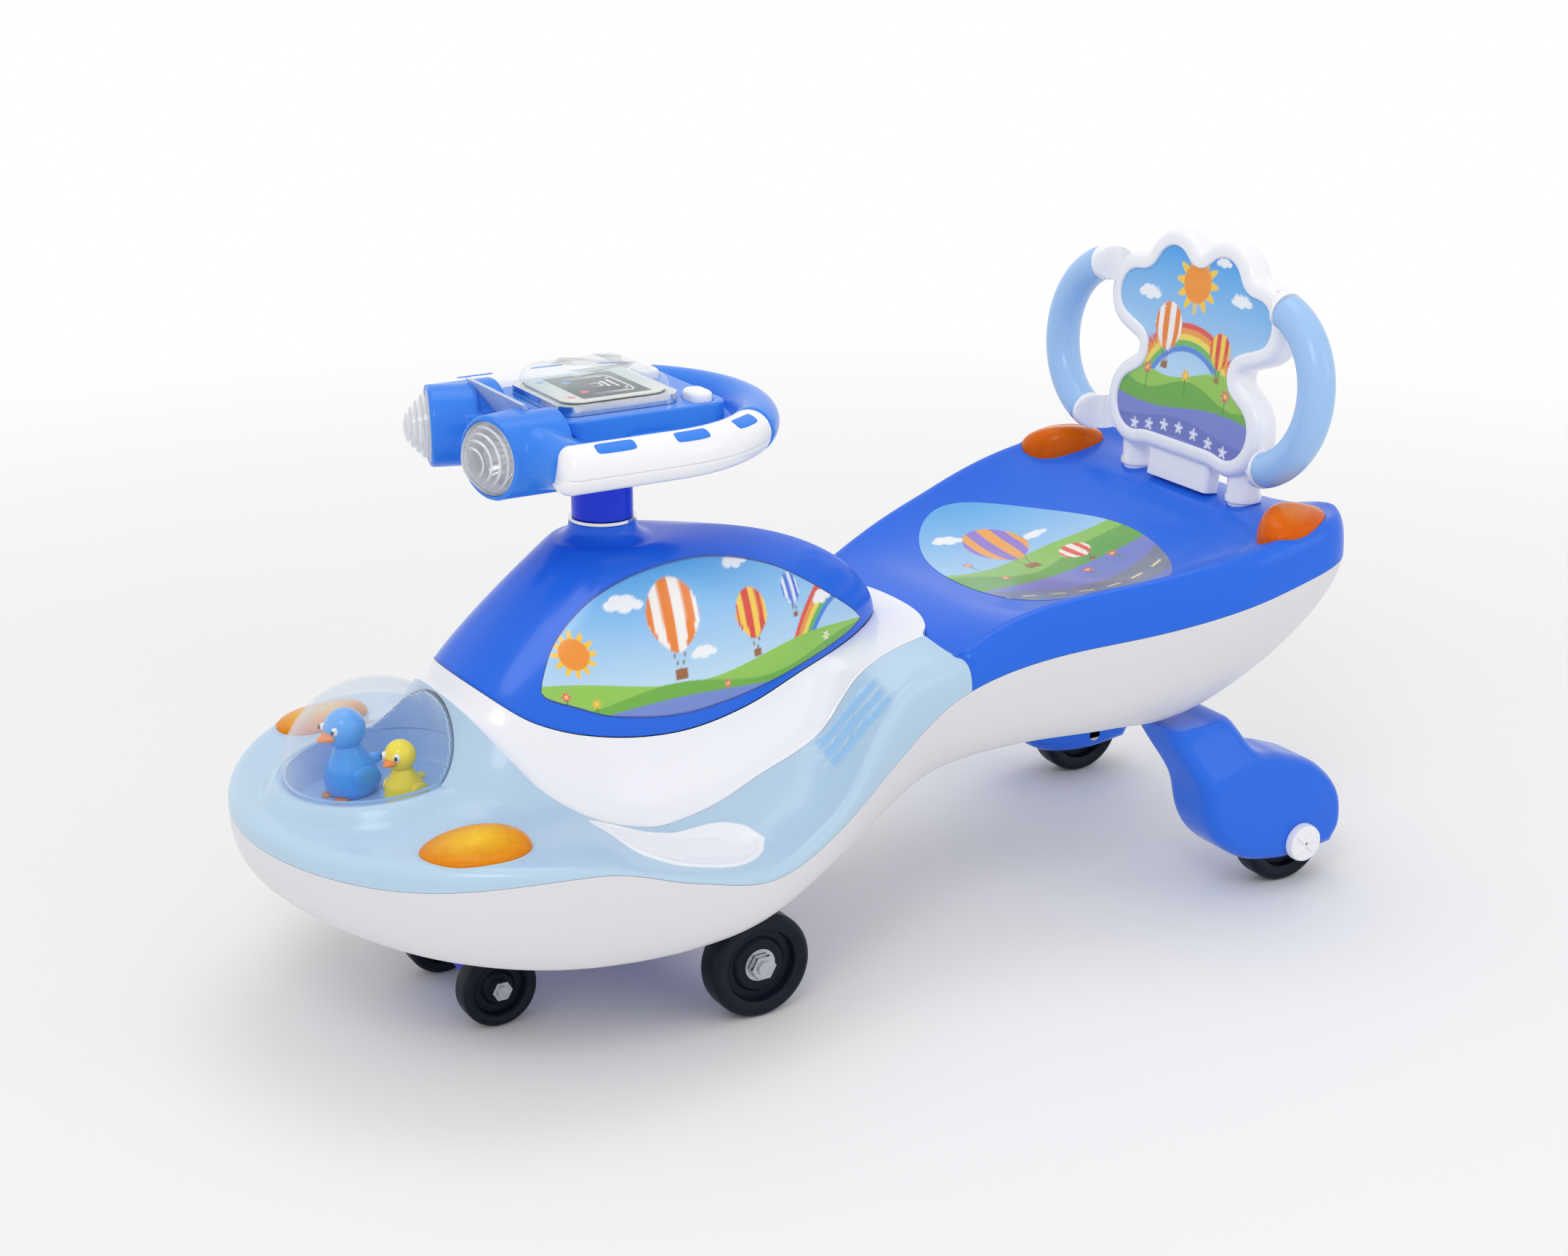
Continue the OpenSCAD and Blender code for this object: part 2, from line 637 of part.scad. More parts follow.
function core_ring(x) = [for (k = [0:panel_fn - 1])
    let (a = 360 * (k + 0.5) / panel_fn)
    [x, panel_core_r * cos(a), panel_mid + panel_core_r * sin(a)]];
function panel_side(x, s) = [for (k = [0:edge_steps])
    let (a = 90 * k / edge_steps)
    panel_ring(x - s * panel_edge * (1 - sin(a)), panel_edge * (1 - cos(a)))];
module panel_body() {
    front = panel_side(panel_x - back_t / 2, -1);
    rear = panel_side(panel_x + back_t / 2, 1);
    skin(concat([core_ring(panel_x + back_t / 2)], [for (k = [edge_steps:-1:0]) rear[k]], front,
        [core_ring(panel_x - back_t / 2)]));
}
module recess_outline() {
    for (l = lobes, s = [-1, 1])
        translate([l[0], s * l[1]])
        circle(l[2] - rim_band);
    translate([rim_band, rim_band - panel_half])
    square([panel_top - rim_band, 2 * (panel_half - rim_band)]);
}
module recess() {
    translate([panel_x - back_t / 2 + print_depth, 0, 0])
    rotate([0, -90, 0])
    linear_extrude(sweep)
    recess_outline();
}
module panel_arm() {
    rotate([-90, 0, 0])
    cylinder(r = handle_r, h = handle_y + handle_bow * cos(handle_turn / 2) - arm_y - seam);
    sphere(handle_r);
}
module backrest_panel() {
    color(white) {
        on_back()
        difference() {
            union() {
                panel_body();
                for (s = [0, 1], z = [-1, 1])
                    mirror([0, s, 0])
                    translate([handle_x, arm_y, handle_mid + z * handle_bow * sin(handle_turn / 2)])
                    panel_arm();
                translate([panel_x - clip_t / 2, -clip_l / 2, -back_foot])
                cube([clip_t, clip_l, back_foot + bite]);
            }
            panel_handles(handle_r + seam);
            recess();
        }
        for (s = [-1, 1])
            translate([peg_x, s * peg_y, seat_top_z - peg_in])
            cylinder(r = peg_r, h = peg_in + back_foot + peg_up);
    }
}
peg_up = 16;
panel_x = -5;
handle_x = -20;
handle_y = 85;
handle_mid = 70;
handle_turn = 144;
arm_y = 76;
clip_l = 70;
clip_t = 14;
module panel_handles(r) {
    for (s = [0, 1])
        mirror([0, s, 0])
        translate([handle_x, handle_y, handle_mid])
        handle_bar(r);
}
module handle_bar(r) {
    rotate([90, 0, 90])
    rotate(-handle_turn / 2)
    rotate_extrude(angle = handle_turn)
    translate([handle_bow, 0])
    circle(r, $fn = small_fn);
}
module backrest_grip(s) {
    color(pale_blue)
    on_back()
    mirror([0, s < 0 ? 1 : 0, 0])
    translate([handle_x, handle_y, handle_mid])
    handle_bar(handle_r);
}
module backrest_grip_left() { backrest_grip(1); }
module backrest_grip_right() { backrest_grip(-1); }

// Rear legs, axles, caps and wheels
leg_in_y = rear_track - 26;
leg_out_y = rear_track + 24;
leg_top_in = rear_track - 46;
leg_top_out = rear_track + 4;
leg_knee_z = 90;
leg_steps = 16;
leg_front = [[0, -106], [0.12, -99], [0.3, -89], [0.48, -82], [0.64, -70], [0.8, -46], [0.92, -20], [1, 0]];
leg_front_z = [[0, 0], [0.12, -18], [0.3, -44], [0.48, -70], [0.64, -88], [0.8, -104], [0.92, -110],
    [1, -111]];
leg_back = [[0, -76], [0.12, -52], [0.3, -34], [0.48, -10], [0.64, 16], [0.8, 37], [0.92, 41], [1, 34]];
leg_back_z = [[0, 0], [0.12, 0], [0.3, -24], [0.48, -31], [0.64, -42], [0.8, -66], [0.92, -92], [1, -107]];
leg_rounding = [[0, 10], [0.05, 5], [0.14, 1.5], [0.3, 0], [0.7, 0], [0.86, 1.5], [0.95, 5], [1, 10]];
leg_bolt_x = rear_axle_x - 96;
leg_bolt_y = rear_track - 24;
leg_bolt_r = 6;
leg_bolt_in = 14;
wheel_room = 3;
cap_r = 14;
cap_t = 6;
cap_slot = 5;
cap_draft = 2;
leg_rise = 56;
leg_top_z = belly_z + leg_rise;
function leg_at(t, back, less) =
    let (f = [through(leg_front, t), through(leg_front_z, t)],
        b = [through(leg_back, t), through(leg_back_z, t)],
        m = (f + b) / 2, p = back ? b : f, share = 1 - less / norm(f - m))
    [rear_axle_x + mix(m.x, p.x, share), leg_top_z + mix(m.y, p.y, share) + less * pow(t, 3)];
function leg_y(z, share) =
    let (k = ease((z - leg_knee_z) / (leg_top_z - leg_knee_z)))
    mix(mix(leg_in_y, leg_top_in, k), mix(leg_out_y, leg_top_out, k), share);
function leg_ring(share, less) = [for (k = [0:2 * leg_steps + 1])
    let (back = k > leg_steps, t = (back ? 2 * leg_steps + 1 - k : k) / leg_steps,
        q = leg_at(t, back, less))
    [q.x, leg_y(q.y, share), q.y]];
module on_rear_axle() {
    translate([rear_axle_x, rear_track, rear_wheel_r])
    rotate([-90, 0, 0])
    children();
}
module rear_leg(s) {
    color(blue)
    mirror([0, s < 0 ? 1 : 0, 0])
    difference() {
        union() {
            skin([for (r = leg_rounding) leg_ring(r[0], r[1])]);
            translate([leg_bolt_x, leg_bolt_y, leg_top_z - bite])
            cylinder(r = leg_bolt_r, h = leg_bolt_in);
        }
        on_rear_axle() {
            cylinder(r = rear_wheel_r + wheel_room, h = rear_wheel_b + 2 * side_gap, center = true);
            cylinder(r = axle_r + fit, h = sweep, center = true);
        }
    }
}
module rear_axle(s) {
    color(steel)
    mirror([0, s < 0 ? 1 : 0, 0])
    on_rear_axle()
    translate([0, 0, leg_in_y - rear_track])
    cylinder(r = axle_r, h = leg_out_y - leg_in_y + cap_t / 2);
}
module hub_cap(s) {
    color(white)
    mirror([0, s < 0 ? 1 : 0, 0])
    on_rear_axle()
    translate([0, 0, leg_out_y - rear_track + seam])
    difference() {
        cylinder(r1 = cap_r, r2 = cap_r - cap_draft, h = cap_t);
        translate([0, 0, -bite])
        cylinder(r = axle_r + fit, h = cap_t / 2 + bite);
        for (a = [45, 135])
            rotate(a)
            translate([0, 0, cap_t])
            cube([1.5 * cap_r, cap_slot, cap_t / 3], center = true);
    }
}
tyre_edge = 4;
dish_share = 0.7;
dish_depth = 5;
hub_share = 0.36;
module tyre(r, b, bore) {
    difference() {
        rotate_extrude()
        polygon([[0, -b / 2], [r - tyre_edge, -b / 2], [r, tyre_edge - b / 2], [r, b / 2 - tyre_edge],
            [r - tyre_edge, b / 2], [0, b / 2]]);
        for (s = [0, 1])
            mirror([0, 0, s])
            translate([0, 0, b / 2 - dish_depth])
            difference() {
                cylinder(r = r * dish_share, h = b);
                cylinder(r = r * hub_share, h = dish_depth - bite);
            }
        cylinder(r = bore, h = sweep, center = true);
    }
}
module rear_wheel(s) {
    color(black)
    mirror([0, s < 0 ? 1 : 0, 0])
    on_rear_axle()
    tyre(rear_wheel_r, rear_wheel_b, axle_r + play);
}
module rear_leg_left() { rear_leg(1); }
module rear_leg_right() { rear_leg(-1); }
module rear_axle_left() { rear_axle(1); }
module rear_axle_right() { rear_axle(-1); }
module hub_cap_left() { hub_cap(1); }
module hub_cap_right() { hub_cap(-1); }
module rear_wheel_left() { rear_wheel(1); }
module rear_wheel_right() { rear_wheel(-1); }

// Bearings of the steering column in the body
flange_t = 2.5;
flange_r = 26;
washer_t = 1.2;
ring_t = 2;
ring_play = 1;
washer_r = 22;
lower_bush_l = 34;
yoke_top_z = belly_z - flange_t - washer_t - 3 * seam;
module on_column() {
    translate([column_x, 0, 0])
    children();
}
module upper_bush() {
    color(white)
    on_column()
    translate([0, 0, collar_z - bush_l])
    difference() {
        cylinder(r = upper_bush_r, h = bush_l);
        translate([0, 0, -bite])
        cylinder(r = shaft_r + play, h = bush_l + 2 * bite);
    }
}
module lower_bush() {
    color(white)
    on_column()
    difference() {
        union() {
            translate([0, 0, belly_z - seam - flange_t])
            cylinder(r = flange_r, h = flange_t);
            translate([0, 0, belly_z - seam - bite])
            cylinder(r = bush_r, h = lower_bush_l);
        }
        cylinder(r = shaft_r + play, h = sweep);
    }
}
module collar_ring() {
    color(steel)
    on_column()
    translate([0, 0, collar_z + seam])
    difference() {
        cylinder(r = collar_r, h = ring_t);
        translate([0, 0, -bite])
        cylinder(r = shaft_r + ring_play, h = ring_t + 2 * bite);
    }
}
module thrust_washer() {
    color(steel)
    on_column()
    translate([0, 0, yoke_top_z + seam])
    difference() {
        cylinder(r = washer_r, h = washer_t);
        translate([0, 0, -bite])
        cylinder(r = shaft_r + play, h = washer_t + 2 * bite);
    }
}

// Shaft, moulded column and yoke that turn together
yoke_h = 16;
yoke_hub_r = 24;
yoke_z = yoke_top_z - yoke_h;
nut_r = 13;
nut_t = 8;
thread_end = 2;
hub_z = collar_z + ring_t + column_l + 2 * seam;
socket_h = 16;
module steering_shaft() {
    color(steel)
    on_column()
    translate([0, 0, yoke_z - nut_t - thread_end])
    cylinder(r = shaft_r, h = hub_z + socket_h - yoke_z + nut_t + thread_end);
}
module shaft_nut() {
    color(steel)
    on_column()
    translate([0, 0, yoke_z - nut_t - seam])
    difference() {
        cylinder(r = nut_r, h = nut_t, $fn = 6);
        translate([0, 0, -bite])
        cylinder(r = shaft_r + fit, h = nut_t + 2 * bite);
    }
}
module steering_column() {
    color(deep_blue)
    on_column()
    translate([0, 0, hub_z - column_l])
    difference() {
        cylinder(r = column_r, h = column_l - seam);
        translate([0, 0, -bite])
        cylinder(r = shaft_r + fit, h = column_l + bite);
    }
}
tube_wall = 6;
small_tube_wall = 5;
big_tube_r = axle_r + tube_wall;
small_tube_r = small_axle_r + small_tube_wall;
big_arm = big_track - big_wheel_b / 2 - side_gap;
small_arm = small_track - small_wheel_b / 2 - side_gap;
plate_t = 9;
rib_t = 8;
rib_l = 16;
post_l = 14;
post_w = 32;
yoke_back = 8;
yoke_step = 14;
yoke_nose_w = 40;
yoke_waist = 10;
yoke_waist_w = 80;
function yoke_plan() = let (half = [[trail + yoke_back, big_arm], [trail - yoke_step, big_arm],
        [-yoke_waist, yoke_waist_w / 2], [-lead - yoke_back, yoke_nose_w / 2]])
    concat(half, [for (k = [len(half) - 1:-1:0]) [half[k].x, -half[k].y]]);
module yoke() {
    color(deep_blue)
    on_column()
    difference() {
        union() {
            translate([0, 0, yoke_z])
            cylinder(r = yoke_hub_r, h = yoke_h);
            translate([0, 0, yoke_top_z - plate_t])
            linear_extrude(plate_t)
            polygon(yoke_plan());
            translate([trail, 0, big_wheel_r])
            rotate([90, 0, 0])
            cylinder(r = big_tube_r, h = 2 * big_arm, center = true);
            for (s = [-1, 0, 1])
                translate([trail - rib_l / 2, s * (big_arm - rib_t / 2) - rib_t / 2, big_wheel_r])
                cube([rib_l, rib_t, yoke_top_z - big_wheel_r - bite]);
            translate([-lead, 0, small_wheel_r])
            rotate([90, 0, 0])
            cylinder(r = small_tube_r, h = 2 * small_arm, center = true);
            translate([-lead - post_l / 2, -post_w / 2, small_wheel_r])
            cube([post_l, post_w, yoke_top_z - small_wheel_r - bite]);
        }
        translate([0, 0, yoke_z - bite])
        cylinder(r = shaft_r + fit, h = yoke_h + 2 * bite);
        translate([trail, 0, big_wheel_r])
        rotate([90, 0, 0])
        cylinder(r = axle_r + fit, h = sweep, center = true);
        translate([-lead, 0, small_wheel_r])
        rotate([90, 0, 0])
        cylinder(r = small_axle_r + fit, h = sweep, center = true);
    }
}
axle_nut_t = 5;
axle_nut_r = axle_r + 4;
small_nut_r = small_axle_r + 3;
module on_big_axle() {
    translate([big_axle_x, 0, big_wheel_r])
    rotate([-90, 0, 0])
    children();
}
module on_small_axle() {
    translate([small_axle_x, 0, small_wheel_r])
    rotate([-90, 0, 0])
    children();
}
module nuts(place, r, bore) {
    for (s = [-1, 1])
        translate([0, 0, s * (place + axle_nut_t / 2)])
        difference() {
            cylinder(r = r, h = axle_nut_t, center = true, $fn = 6);
            cylinder(r = bore, h = 2 * axle_nut_t, center = true);
        }
}
hub_sink = 4;
big_nut_at = big_track + big_wheel_b / 2 - hub_sink + side_gap;
small_nut_at = small_track + small_wheel_b / 2 - hub_sink + side_gap;
module front_axle() {
    color(steel)
    on_big_axle()
    cylinder(r = axle_r, h = 2 * (big_nut_at + axle_nut_t + thread_end), center = true);
}
module front_nuts() {
    color(steel)
    on_big_axle()
    nuts(big_nut_at, axle_nut_r, axle_r + fit);
}
module guide_axle() {
    color(steel)
    on_small_axle()
    cylinder(r = small_axle_r, h = 2 * (small_nut_at + axle_nut_t + thread_end), center = true);
}
module guide_nuts() {
    color(steel)
    on_small_axle()
    nuts(small_nut_at, small_nut_r, small_axle_r + fit);
}
bearing_r = 11;
boss_wall = 4;
web_sink = 7;
web_draft = 2;
module roller(r, b, bore) {
    dish_r = r * dish_share;
    boss_r = bore + boss_wall;
    difference() {
        rotate_extrude()
        polygon([[0, -b / 2], [r - tyre_edge, -b / 2], [r, tyre_edge - b / 2], [r, b / 2 - tyre_edge],
            [r - tyre_edge, b / 2], [dish_r, b / 2], [dish_r - web_draft, b / 2 - web_sink],
            [boss_r, b / 2 - web_sink], [boss_r, b / 2 - hub_sink], [0, b / 2 - hub_sink]]);
        cylinder(r = bore, h = sweep, center = true);
    }
}
module big_wheel(s) {
    color(black)
    mirror([0, s < 0 ? 1 : 0, 0])
    on_big_axle()
    translate([0, 0, big_track])
    roller(big_wheel_r, big_wheel_b, bearing_r + fit);
}
module big_bearing(s) {
    color(steel)
    mirror([0, s < 0 ? 1 : 0, 0])
    on_big_axle()
    translate([0, 0, big_track - big_wheel_b / 2])
    difference() {
        cylinder(r = bearing_r, h = big_wheel_b - hub_sink);
        translate([0, 0, -bite])
        cylinder(r = axle_r + play, h = big_wheel_b);
    }
}
module guide_wheel(s) {
    color(black)
    mirror([0, s < 0 ? 1 : 0, 0])
    on_small_axle()
    translate([0, 0, small_track])
    roller(small_wheel_r, small_wheel_b, small_axle_r + play);
}
module big_wheel_left() { big_wheel(1); }
module big_wheel_right() { big_wheel(-1); }
module big_bearing_left() { big_bearing(1); }
module big_bearing_right() { big_bearing(-1); }
module guide_wheel_left() { guide_wheel(1); }
module guide_wheel_right() { guide_wheel(-1); }

// Steering wheel: lower frame with rim core and headlight barrels, upper cover, grips
hub_front = -84;
hub_rear = 66;
cover_front = -52;
nose_drop = 6;
nose_r = 4;
corner_r = 14;
shell_t = 2.5;
split_z = hub_z + hub_low_h;
hub_top_z = split_z + hub_top_h;
rim_z0 = hub_z + 23;
rim_mid = 4;
grip_front = -70;
grip_stop = 46;
grip_past = 10;
barrel_y = 46;
barrel_front = -98;
barrel_back = -52;
lens_r = barrel_r - 3;
lens_in = 14;
lamp_bore_l = 34;
neck_x = -51;
neck_r = 10;
lens_rise = 17;
rear_bar_w = 44;
dash_front = -46;
dash_l = 84;
dash_w = 84;
dash_rise = 6;
dash_lip = 2;
dash_dome = 12;
dash_ball = 200;
dash_fn = 360;
dash_corner_r = 12;
dash_floor = 2;
window_r = 8;
frame_band = 6;
button_x = 51;
button_y = 36;
button_l = 22;
button_b = 15;
button_r = 6;
button_gap = 0.3;
button_up = button_travel + 4;
button_in = 12;
module plate(x0, x1, w, r) {
    for (x = [x0 + r, x1 - r], y = [r - w / 2, w / 2 - r])
        translate([x, y])
        circle(r);
    translate([x0 + r, -w / 2])
    square([x1 - x0 - 2 * r, w]);
    translate([x0, r - w / 2])
    square([x1 - x0, w - 2 * r]);
}
module rim_piece(r, a0, a1) {
    translate([rim_mid, 0, rim_z0])
    rotate(a0)
    rotate_extrude(angle = a1 - a0)
    translate([rim_ring_r, 0])
    circle(r, $fn = small_fn);
}
module bar_x(x0, x1, y, z, r) {
    translate([x0, y, z])
    rotate([0, 90, 0])
    rotate(y < 0 ? -90 : 90)
    cylinder(r = r, h = x1 - x0);
}
gap_angle = atan(seam / rim_ring_r);
module rim_neck(s, r) {
    translate([neck_x, 0, rim_z0])
    rotate([-90 * s, 0, 0])
    cylinder(r = r, h = rim_ring_r);
}
module wheel_frame() {
    color(blue)
    on_column()
    difference() {
        union() {
            translate([0, 0, hub_z])
            linear_extrude(hub_low_h)
            plate(hub_front, hub_rear, hub_w, corner_r);
            translate([0, 0, split_z - bite])
            linear_extrude(hub_top_h - nose_drop + bite)
            plate(hub_front, cover_front - seam, hub_w - 2 * corner_r, nose_r);
            rim_piece(rim_core_r, -90, 90);
            rim_piece(grip_r, gap_angle - grip_stop, grip_stop - gap_angle);
            for (s = [-1, 1]) {
                bar_x(grip_front + shell_t + seam, rim_mid, s * rim_ring_r, rim_z0, rim_core_r);
                bar_x(barrel_front, barrel_back - seam, s * barrel_y, rim_z0, barrel_r);
                rim_neck(s, neck_r);
            }
            translate([hub_rear - corner_r, -rear_bar_w, rim_z0 - rim_core_r])
            cube([rim_mid + rim_ring_r - hub_rear, 2 * rear_bar_w, rim_core_r]);
        }
        translate([0, 0, hub_z + shell_t])
        linear_extrude(sweep)
        intersection() {
            plate(hub_front + shell_t, hub_rear - shell_t, hub_w - 2 * shell_t, corner_r - shell_t);
            translate([cover_front + shell_t, -hub_w])
            square([sweep, 2 * hub_w]);
        }
        for (s = [-1, 1])
            bar_x(barrel_front - bite, barrel_front + lamp_bore_l, s * barrel_y, rim_z0, lens_r + fit);
        translate([0, 0, hub_z - bite])
        cylinder(r = shaft_r + fit, h = sweep);
    }
}
module wheel_cover() {
    color(blue)
    on_column()
    difference() {
        translate([0, 0, split_z + seam])
        linear_extrude(hub_top_h - seam)
        plate(cover_front, hub_rear, hub_w, corner_r);
        translate([0, 0, split_z - bite])
        linear_extrude(hub_top_h - 2 * shell_t + bite)
        plate(cover_front + shell_t, hub_rear - shell_t, hub_w - 2 * shell_t, corner_r - shell_t);
        translate([0, 0, split_z])
        linear_extrude(hub_top_h * 2)
        dash_window(frame_band + seam);
        for (s = [-1, 1]) {
            button_block(s, button_gap, sweep);
            rim_neck(s, neck_r + seam);
        }
        translate([hub_rear - corner_r - seam, -rear_bar_w - seam, rim_z0 - rim_core_r - bite])
        cube([sweep, 2 * rear_bar_w + 2 * seam, rim_core_r + bite + seam]);
    }
}
module rim_side(s, r, x0, a0) {
    rim_piece(r, s * 90, s * a0);
    bar_x(x0, rim_mid, s * rim_ring_r, rim_z0, r);
}
module rim_grip(s) {
    color(white)
    on_column()
    difference() {
        rim_side(s, grip_r, grip_front, grip_stop);
        rim_side(s, rim_core_r + fit, grip_front + shell_t, grip_stop - grip_past);
        rim_neck(s, neck_r + fit);
    }
}
module rim_grip_left() { rim_grip(1); }
module rim_grip_right() { rim_grip(-1); }
lens_steps = 5;
lens_lip = 0.6;
lens_riser = 1.8;
function lens_step(k) = [
    [lens_r * (1 - k / lens_steps), lens_rise * k / lens_steps],
    [lens_r * (1 - k / lens_steps) - lens_lip, lens_rise * k / lens_steps + lens_riser]];
module headlight(s) {
    color(clear)
    on_column()
    translate([barrel_front, s * barrel_y, rim_z0])
    rotate([0, -90, 0])
    rotate_extrude()
    polygon(concat([[lens_r - dome_wall, -lens_in], [lens_r, -lens_in]],
        [for (k = [0:lens_steps - 1]) each lens_step(k)],
        [[0, lens_rise], [0, lens_rise - dome_wall], [lens_r - dome_wall, 0]]));
}
reflector_lip = 1;
reflector_eye_r = 5;
module reflector(s) {
    color(steel)
    on_column()
    translate([barrel_front + lens_in + seam, s * barrel_y, rim_z0])
    rotate([0, 90, 0])
    difference() {
        cylinder(r = lens_r, h = lens_in);
        translate([0, 0, -bite])
        cylinder(r1 = lens_r - reflector_lip, r2 = reflector_eye_r, h = lens_in - reflector_lip);
    }
}
module headlight_left() { headlight(1); }
module headlight_right() { headlight(-1); }
module reflector_left() { reflector(1); }
module reflector_right() { reflector(-1); }
screen_h = 18;
screen_w = 84;
screen_lean = 10;
screen_t = 3;
screen_x = -64;
module windscreen() {
    color(clear)
    on_column()
    difference() {
        translate([screen_x, 0, hub_top_z - nose_drop + seam])
        rotate([90, 0, 0])
        linear_extrude(screen_w, center = true)
        polygon([[0, 0], [screen_t, 0], [screen_t - screen_lean, screen_h], [-screen_lean, screen_h]]);
        for (s = [-1, 1])
            bar_x(barrel_front, barrel_back, s * barrel_y, rim_z0, barrel_r + seam);
    }
}
module dash_window(band) {
    plate(dash_front + band, dash_front + dash_l - band, dash_w - 2 * band, window_r);
}
module dash_frame() {
    color(steel)
    on_column()
    translate([0, 0, hub_top_z + seam])
    difference() {
        linear_extrude(dash_rise)
        plate(dash_front, dash_front + dash_l, dash_w, dash_corner_r);
        translate([0, 0, dash_floor])
        linear_extrude(dash_rise)
        dash_window(frame_band);
    }
}
module dash_cover() {
    color(clear)
    on_column()
    translate([0, 0, hub_top_z + dash_rise + 2 * seam])
    intersection() {
        linear_extrude(dash_dome)
        plate(dash_front + dash_lip, dash_front + dash_l - dash_lip, dash_w - 2 * dash_lip,
            dash_corner_r - dash_lip);
        translate([dash_front + dash_l / 2, 0, dash_dome - dash_ball])
        sphere(dash_ball, $fn = dash_fn);
    }
}
module button_block(s, grow, h) {
    translate([button_x, s * button_y, hub_top_z - button_in])
    linear_extrude(h)
    plate(-button_b / 2 - grow, button_b / 2 + grow, button_l + 2 * grow, button_r + grow);
}
module button(s) {
    color(white)
    on_column()
    button_block(s, 0, button_in + button_up);
}
module button_left() { button(1); }
module button_right() { button(-1); }
board_t = 1.6;
board_l = 22;
board_w = 50;
inside_gap = 6;
battery_l = 26;
battery_w = 62;
battery_h = 15;
module battery_box() {
    color(black)
    on_column()
    translate([column_r + inside_gap, -battery_w / 2, hub_z + shell_t + seam])
    cube([battery_l, battery_w, battery_h]);
}
module sound_board() {
    color(pale_blue)
    on_column()
    translate([cover_front + inside_gap, -board_w / 2, hub_z + shell_t + seam])
    cube([board_l, board_w, board_t]);
}

lower_tub();
front_deck();
centre_cover();
hood();
seat_cover();
foot_pad_left();
foot_pad_right();
front_lamp_left();
front_lamp_right();
rear_lamp_left();
rear_lamp_right();
display_dome();
display_tray();
figure_tall();
figure_small();
backrest_panel();
backrest_grip_left();
backrest_grip_right();
rear_leg_left();
rear_leg_right();
rear_axle_left();
rear_axle_right();
hub_cap_left();
hub_cap_right();
rear_wheel_left();
rear_wheel_right();
upper_bush();
lower_bush();
collar_ring();
steering_shaft();
steering_column();
shaft_nut();
thrust_washer();
yoke();
front_axle();
front_nuts();
guide_axle();
guide_nuts();
big_wheel_left();
big_wheel_right();
big_bearing_left();
big_bearing_right();
guide_wheel_left();
guide_wheel_right();
wheel_frame();
wheel_cover();
rim_grip_left();
rim_grip_right();
headlight_left();
headlight_right();
reflector_left();
reflector_right();
windscreen();
dash_frame();
dash_cover();
button_left();
button_right();
sound_board();
battery_box();
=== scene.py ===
"""Wiggle car, a ride-on toy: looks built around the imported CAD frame.

Shapes are in millimetres until a mesh is made.
"""

import math

import bmesh
import bpy
import numpy as np
from mathutils import Matrix, Vector
from mathutils.bvhtree import BVHTree


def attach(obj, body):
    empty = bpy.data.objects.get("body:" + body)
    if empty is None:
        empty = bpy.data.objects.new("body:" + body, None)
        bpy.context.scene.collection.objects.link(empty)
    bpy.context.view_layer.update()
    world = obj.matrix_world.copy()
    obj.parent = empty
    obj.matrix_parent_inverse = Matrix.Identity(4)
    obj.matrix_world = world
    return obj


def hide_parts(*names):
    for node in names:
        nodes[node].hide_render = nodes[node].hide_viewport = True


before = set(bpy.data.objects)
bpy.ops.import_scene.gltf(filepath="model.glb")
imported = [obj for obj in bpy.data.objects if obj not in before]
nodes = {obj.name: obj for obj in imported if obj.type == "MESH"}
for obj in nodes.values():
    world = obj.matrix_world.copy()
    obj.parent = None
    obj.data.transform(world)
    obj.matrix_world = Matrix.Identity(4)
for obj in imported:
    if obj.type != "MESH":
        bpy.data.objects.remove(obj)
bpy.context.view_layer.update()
scene = bpy.context.scene
MM = 0.001
# Left is +y, as seen by someone who stands before the nose and faces the car
SIDES = ((1, "left"), (-1, "right"))

# Sizes shared with the CAD source
NOSE_X, TAIL_X = -388.0, 382.0
NOSE_WIDE, WAIST_X, TAIL_WIDE = NOSE_X + 176, NOSE_X + 463, TAIL_X - 87
ARM_END = WAIST_X + 7
NOSE_W, WAIST_W, SEAT_W = 360.0, 216.0, 326.0
FLARE, TAIL_FLARE, WALL, SEAM = 30.0, 50.0, 3.0, 0.3
COLUMN_X = NOSE_X + 252
BELLY_Z = 77.0
COLLAR_Z = 314.0
RIM_LINE = [(-390, 146), (-340, 146), (-230, 152), (-165, 132), (-105, 117), (-45, 129), (15, 155), (75, 185),
            (135, 203), (215, 217), (295, 234), (345, 246), (382, 254)]
BELLY_RISE = [(-375, 33), (-300, 15), (-200, 2), (-140, 0), (-100, 4), (-50, 18), (0, 32), (60, 49),
              (130, 57), (200, 57), (245, 59), (285, 78), (320, 106), (350, 140)]
EDGE_LINE = [(-390, 159), (-330, 162), (-265, 161), (-230, 156), (-200, 147), (-165, 137), (-105, 124),
             (-60, 134), (-30, 150), (0, 180), (25, 198), (60, 207), (85, 210)]
COVER_LINE = [(-256, 217), (-240, 192), (-226, 174), (-206, 159), (-187, 150), (-157, 142), (-135, 142),
              (-107, 146), (-75, 154), (-35, 164), (-16, 173), (11, 200), (34, 212), (66, 220), (90, 222)]
HOOD_LINE = [(-249, 231), (-217, 208), (-170, 194), (-120, 189), (-71, 194), (-20, 205), (40, 212), (72, 216)]
SEAT_SIDE = [(75, 25), (135, 34), (215, 36), (295, 34), (345, 31), (382, 27)]
SEAT_DISH = [(75, -6), (110, 3), (140, 14), (190, 26), (230, 31), (270, 28), (300, 20), (325, 11), (348, 9),
             (382, 15)]
COVER_W = [(-157, 108), (-107, 101), (-75, 93), (-35, 85), (1, 77), (34, 74), (90, 74)]
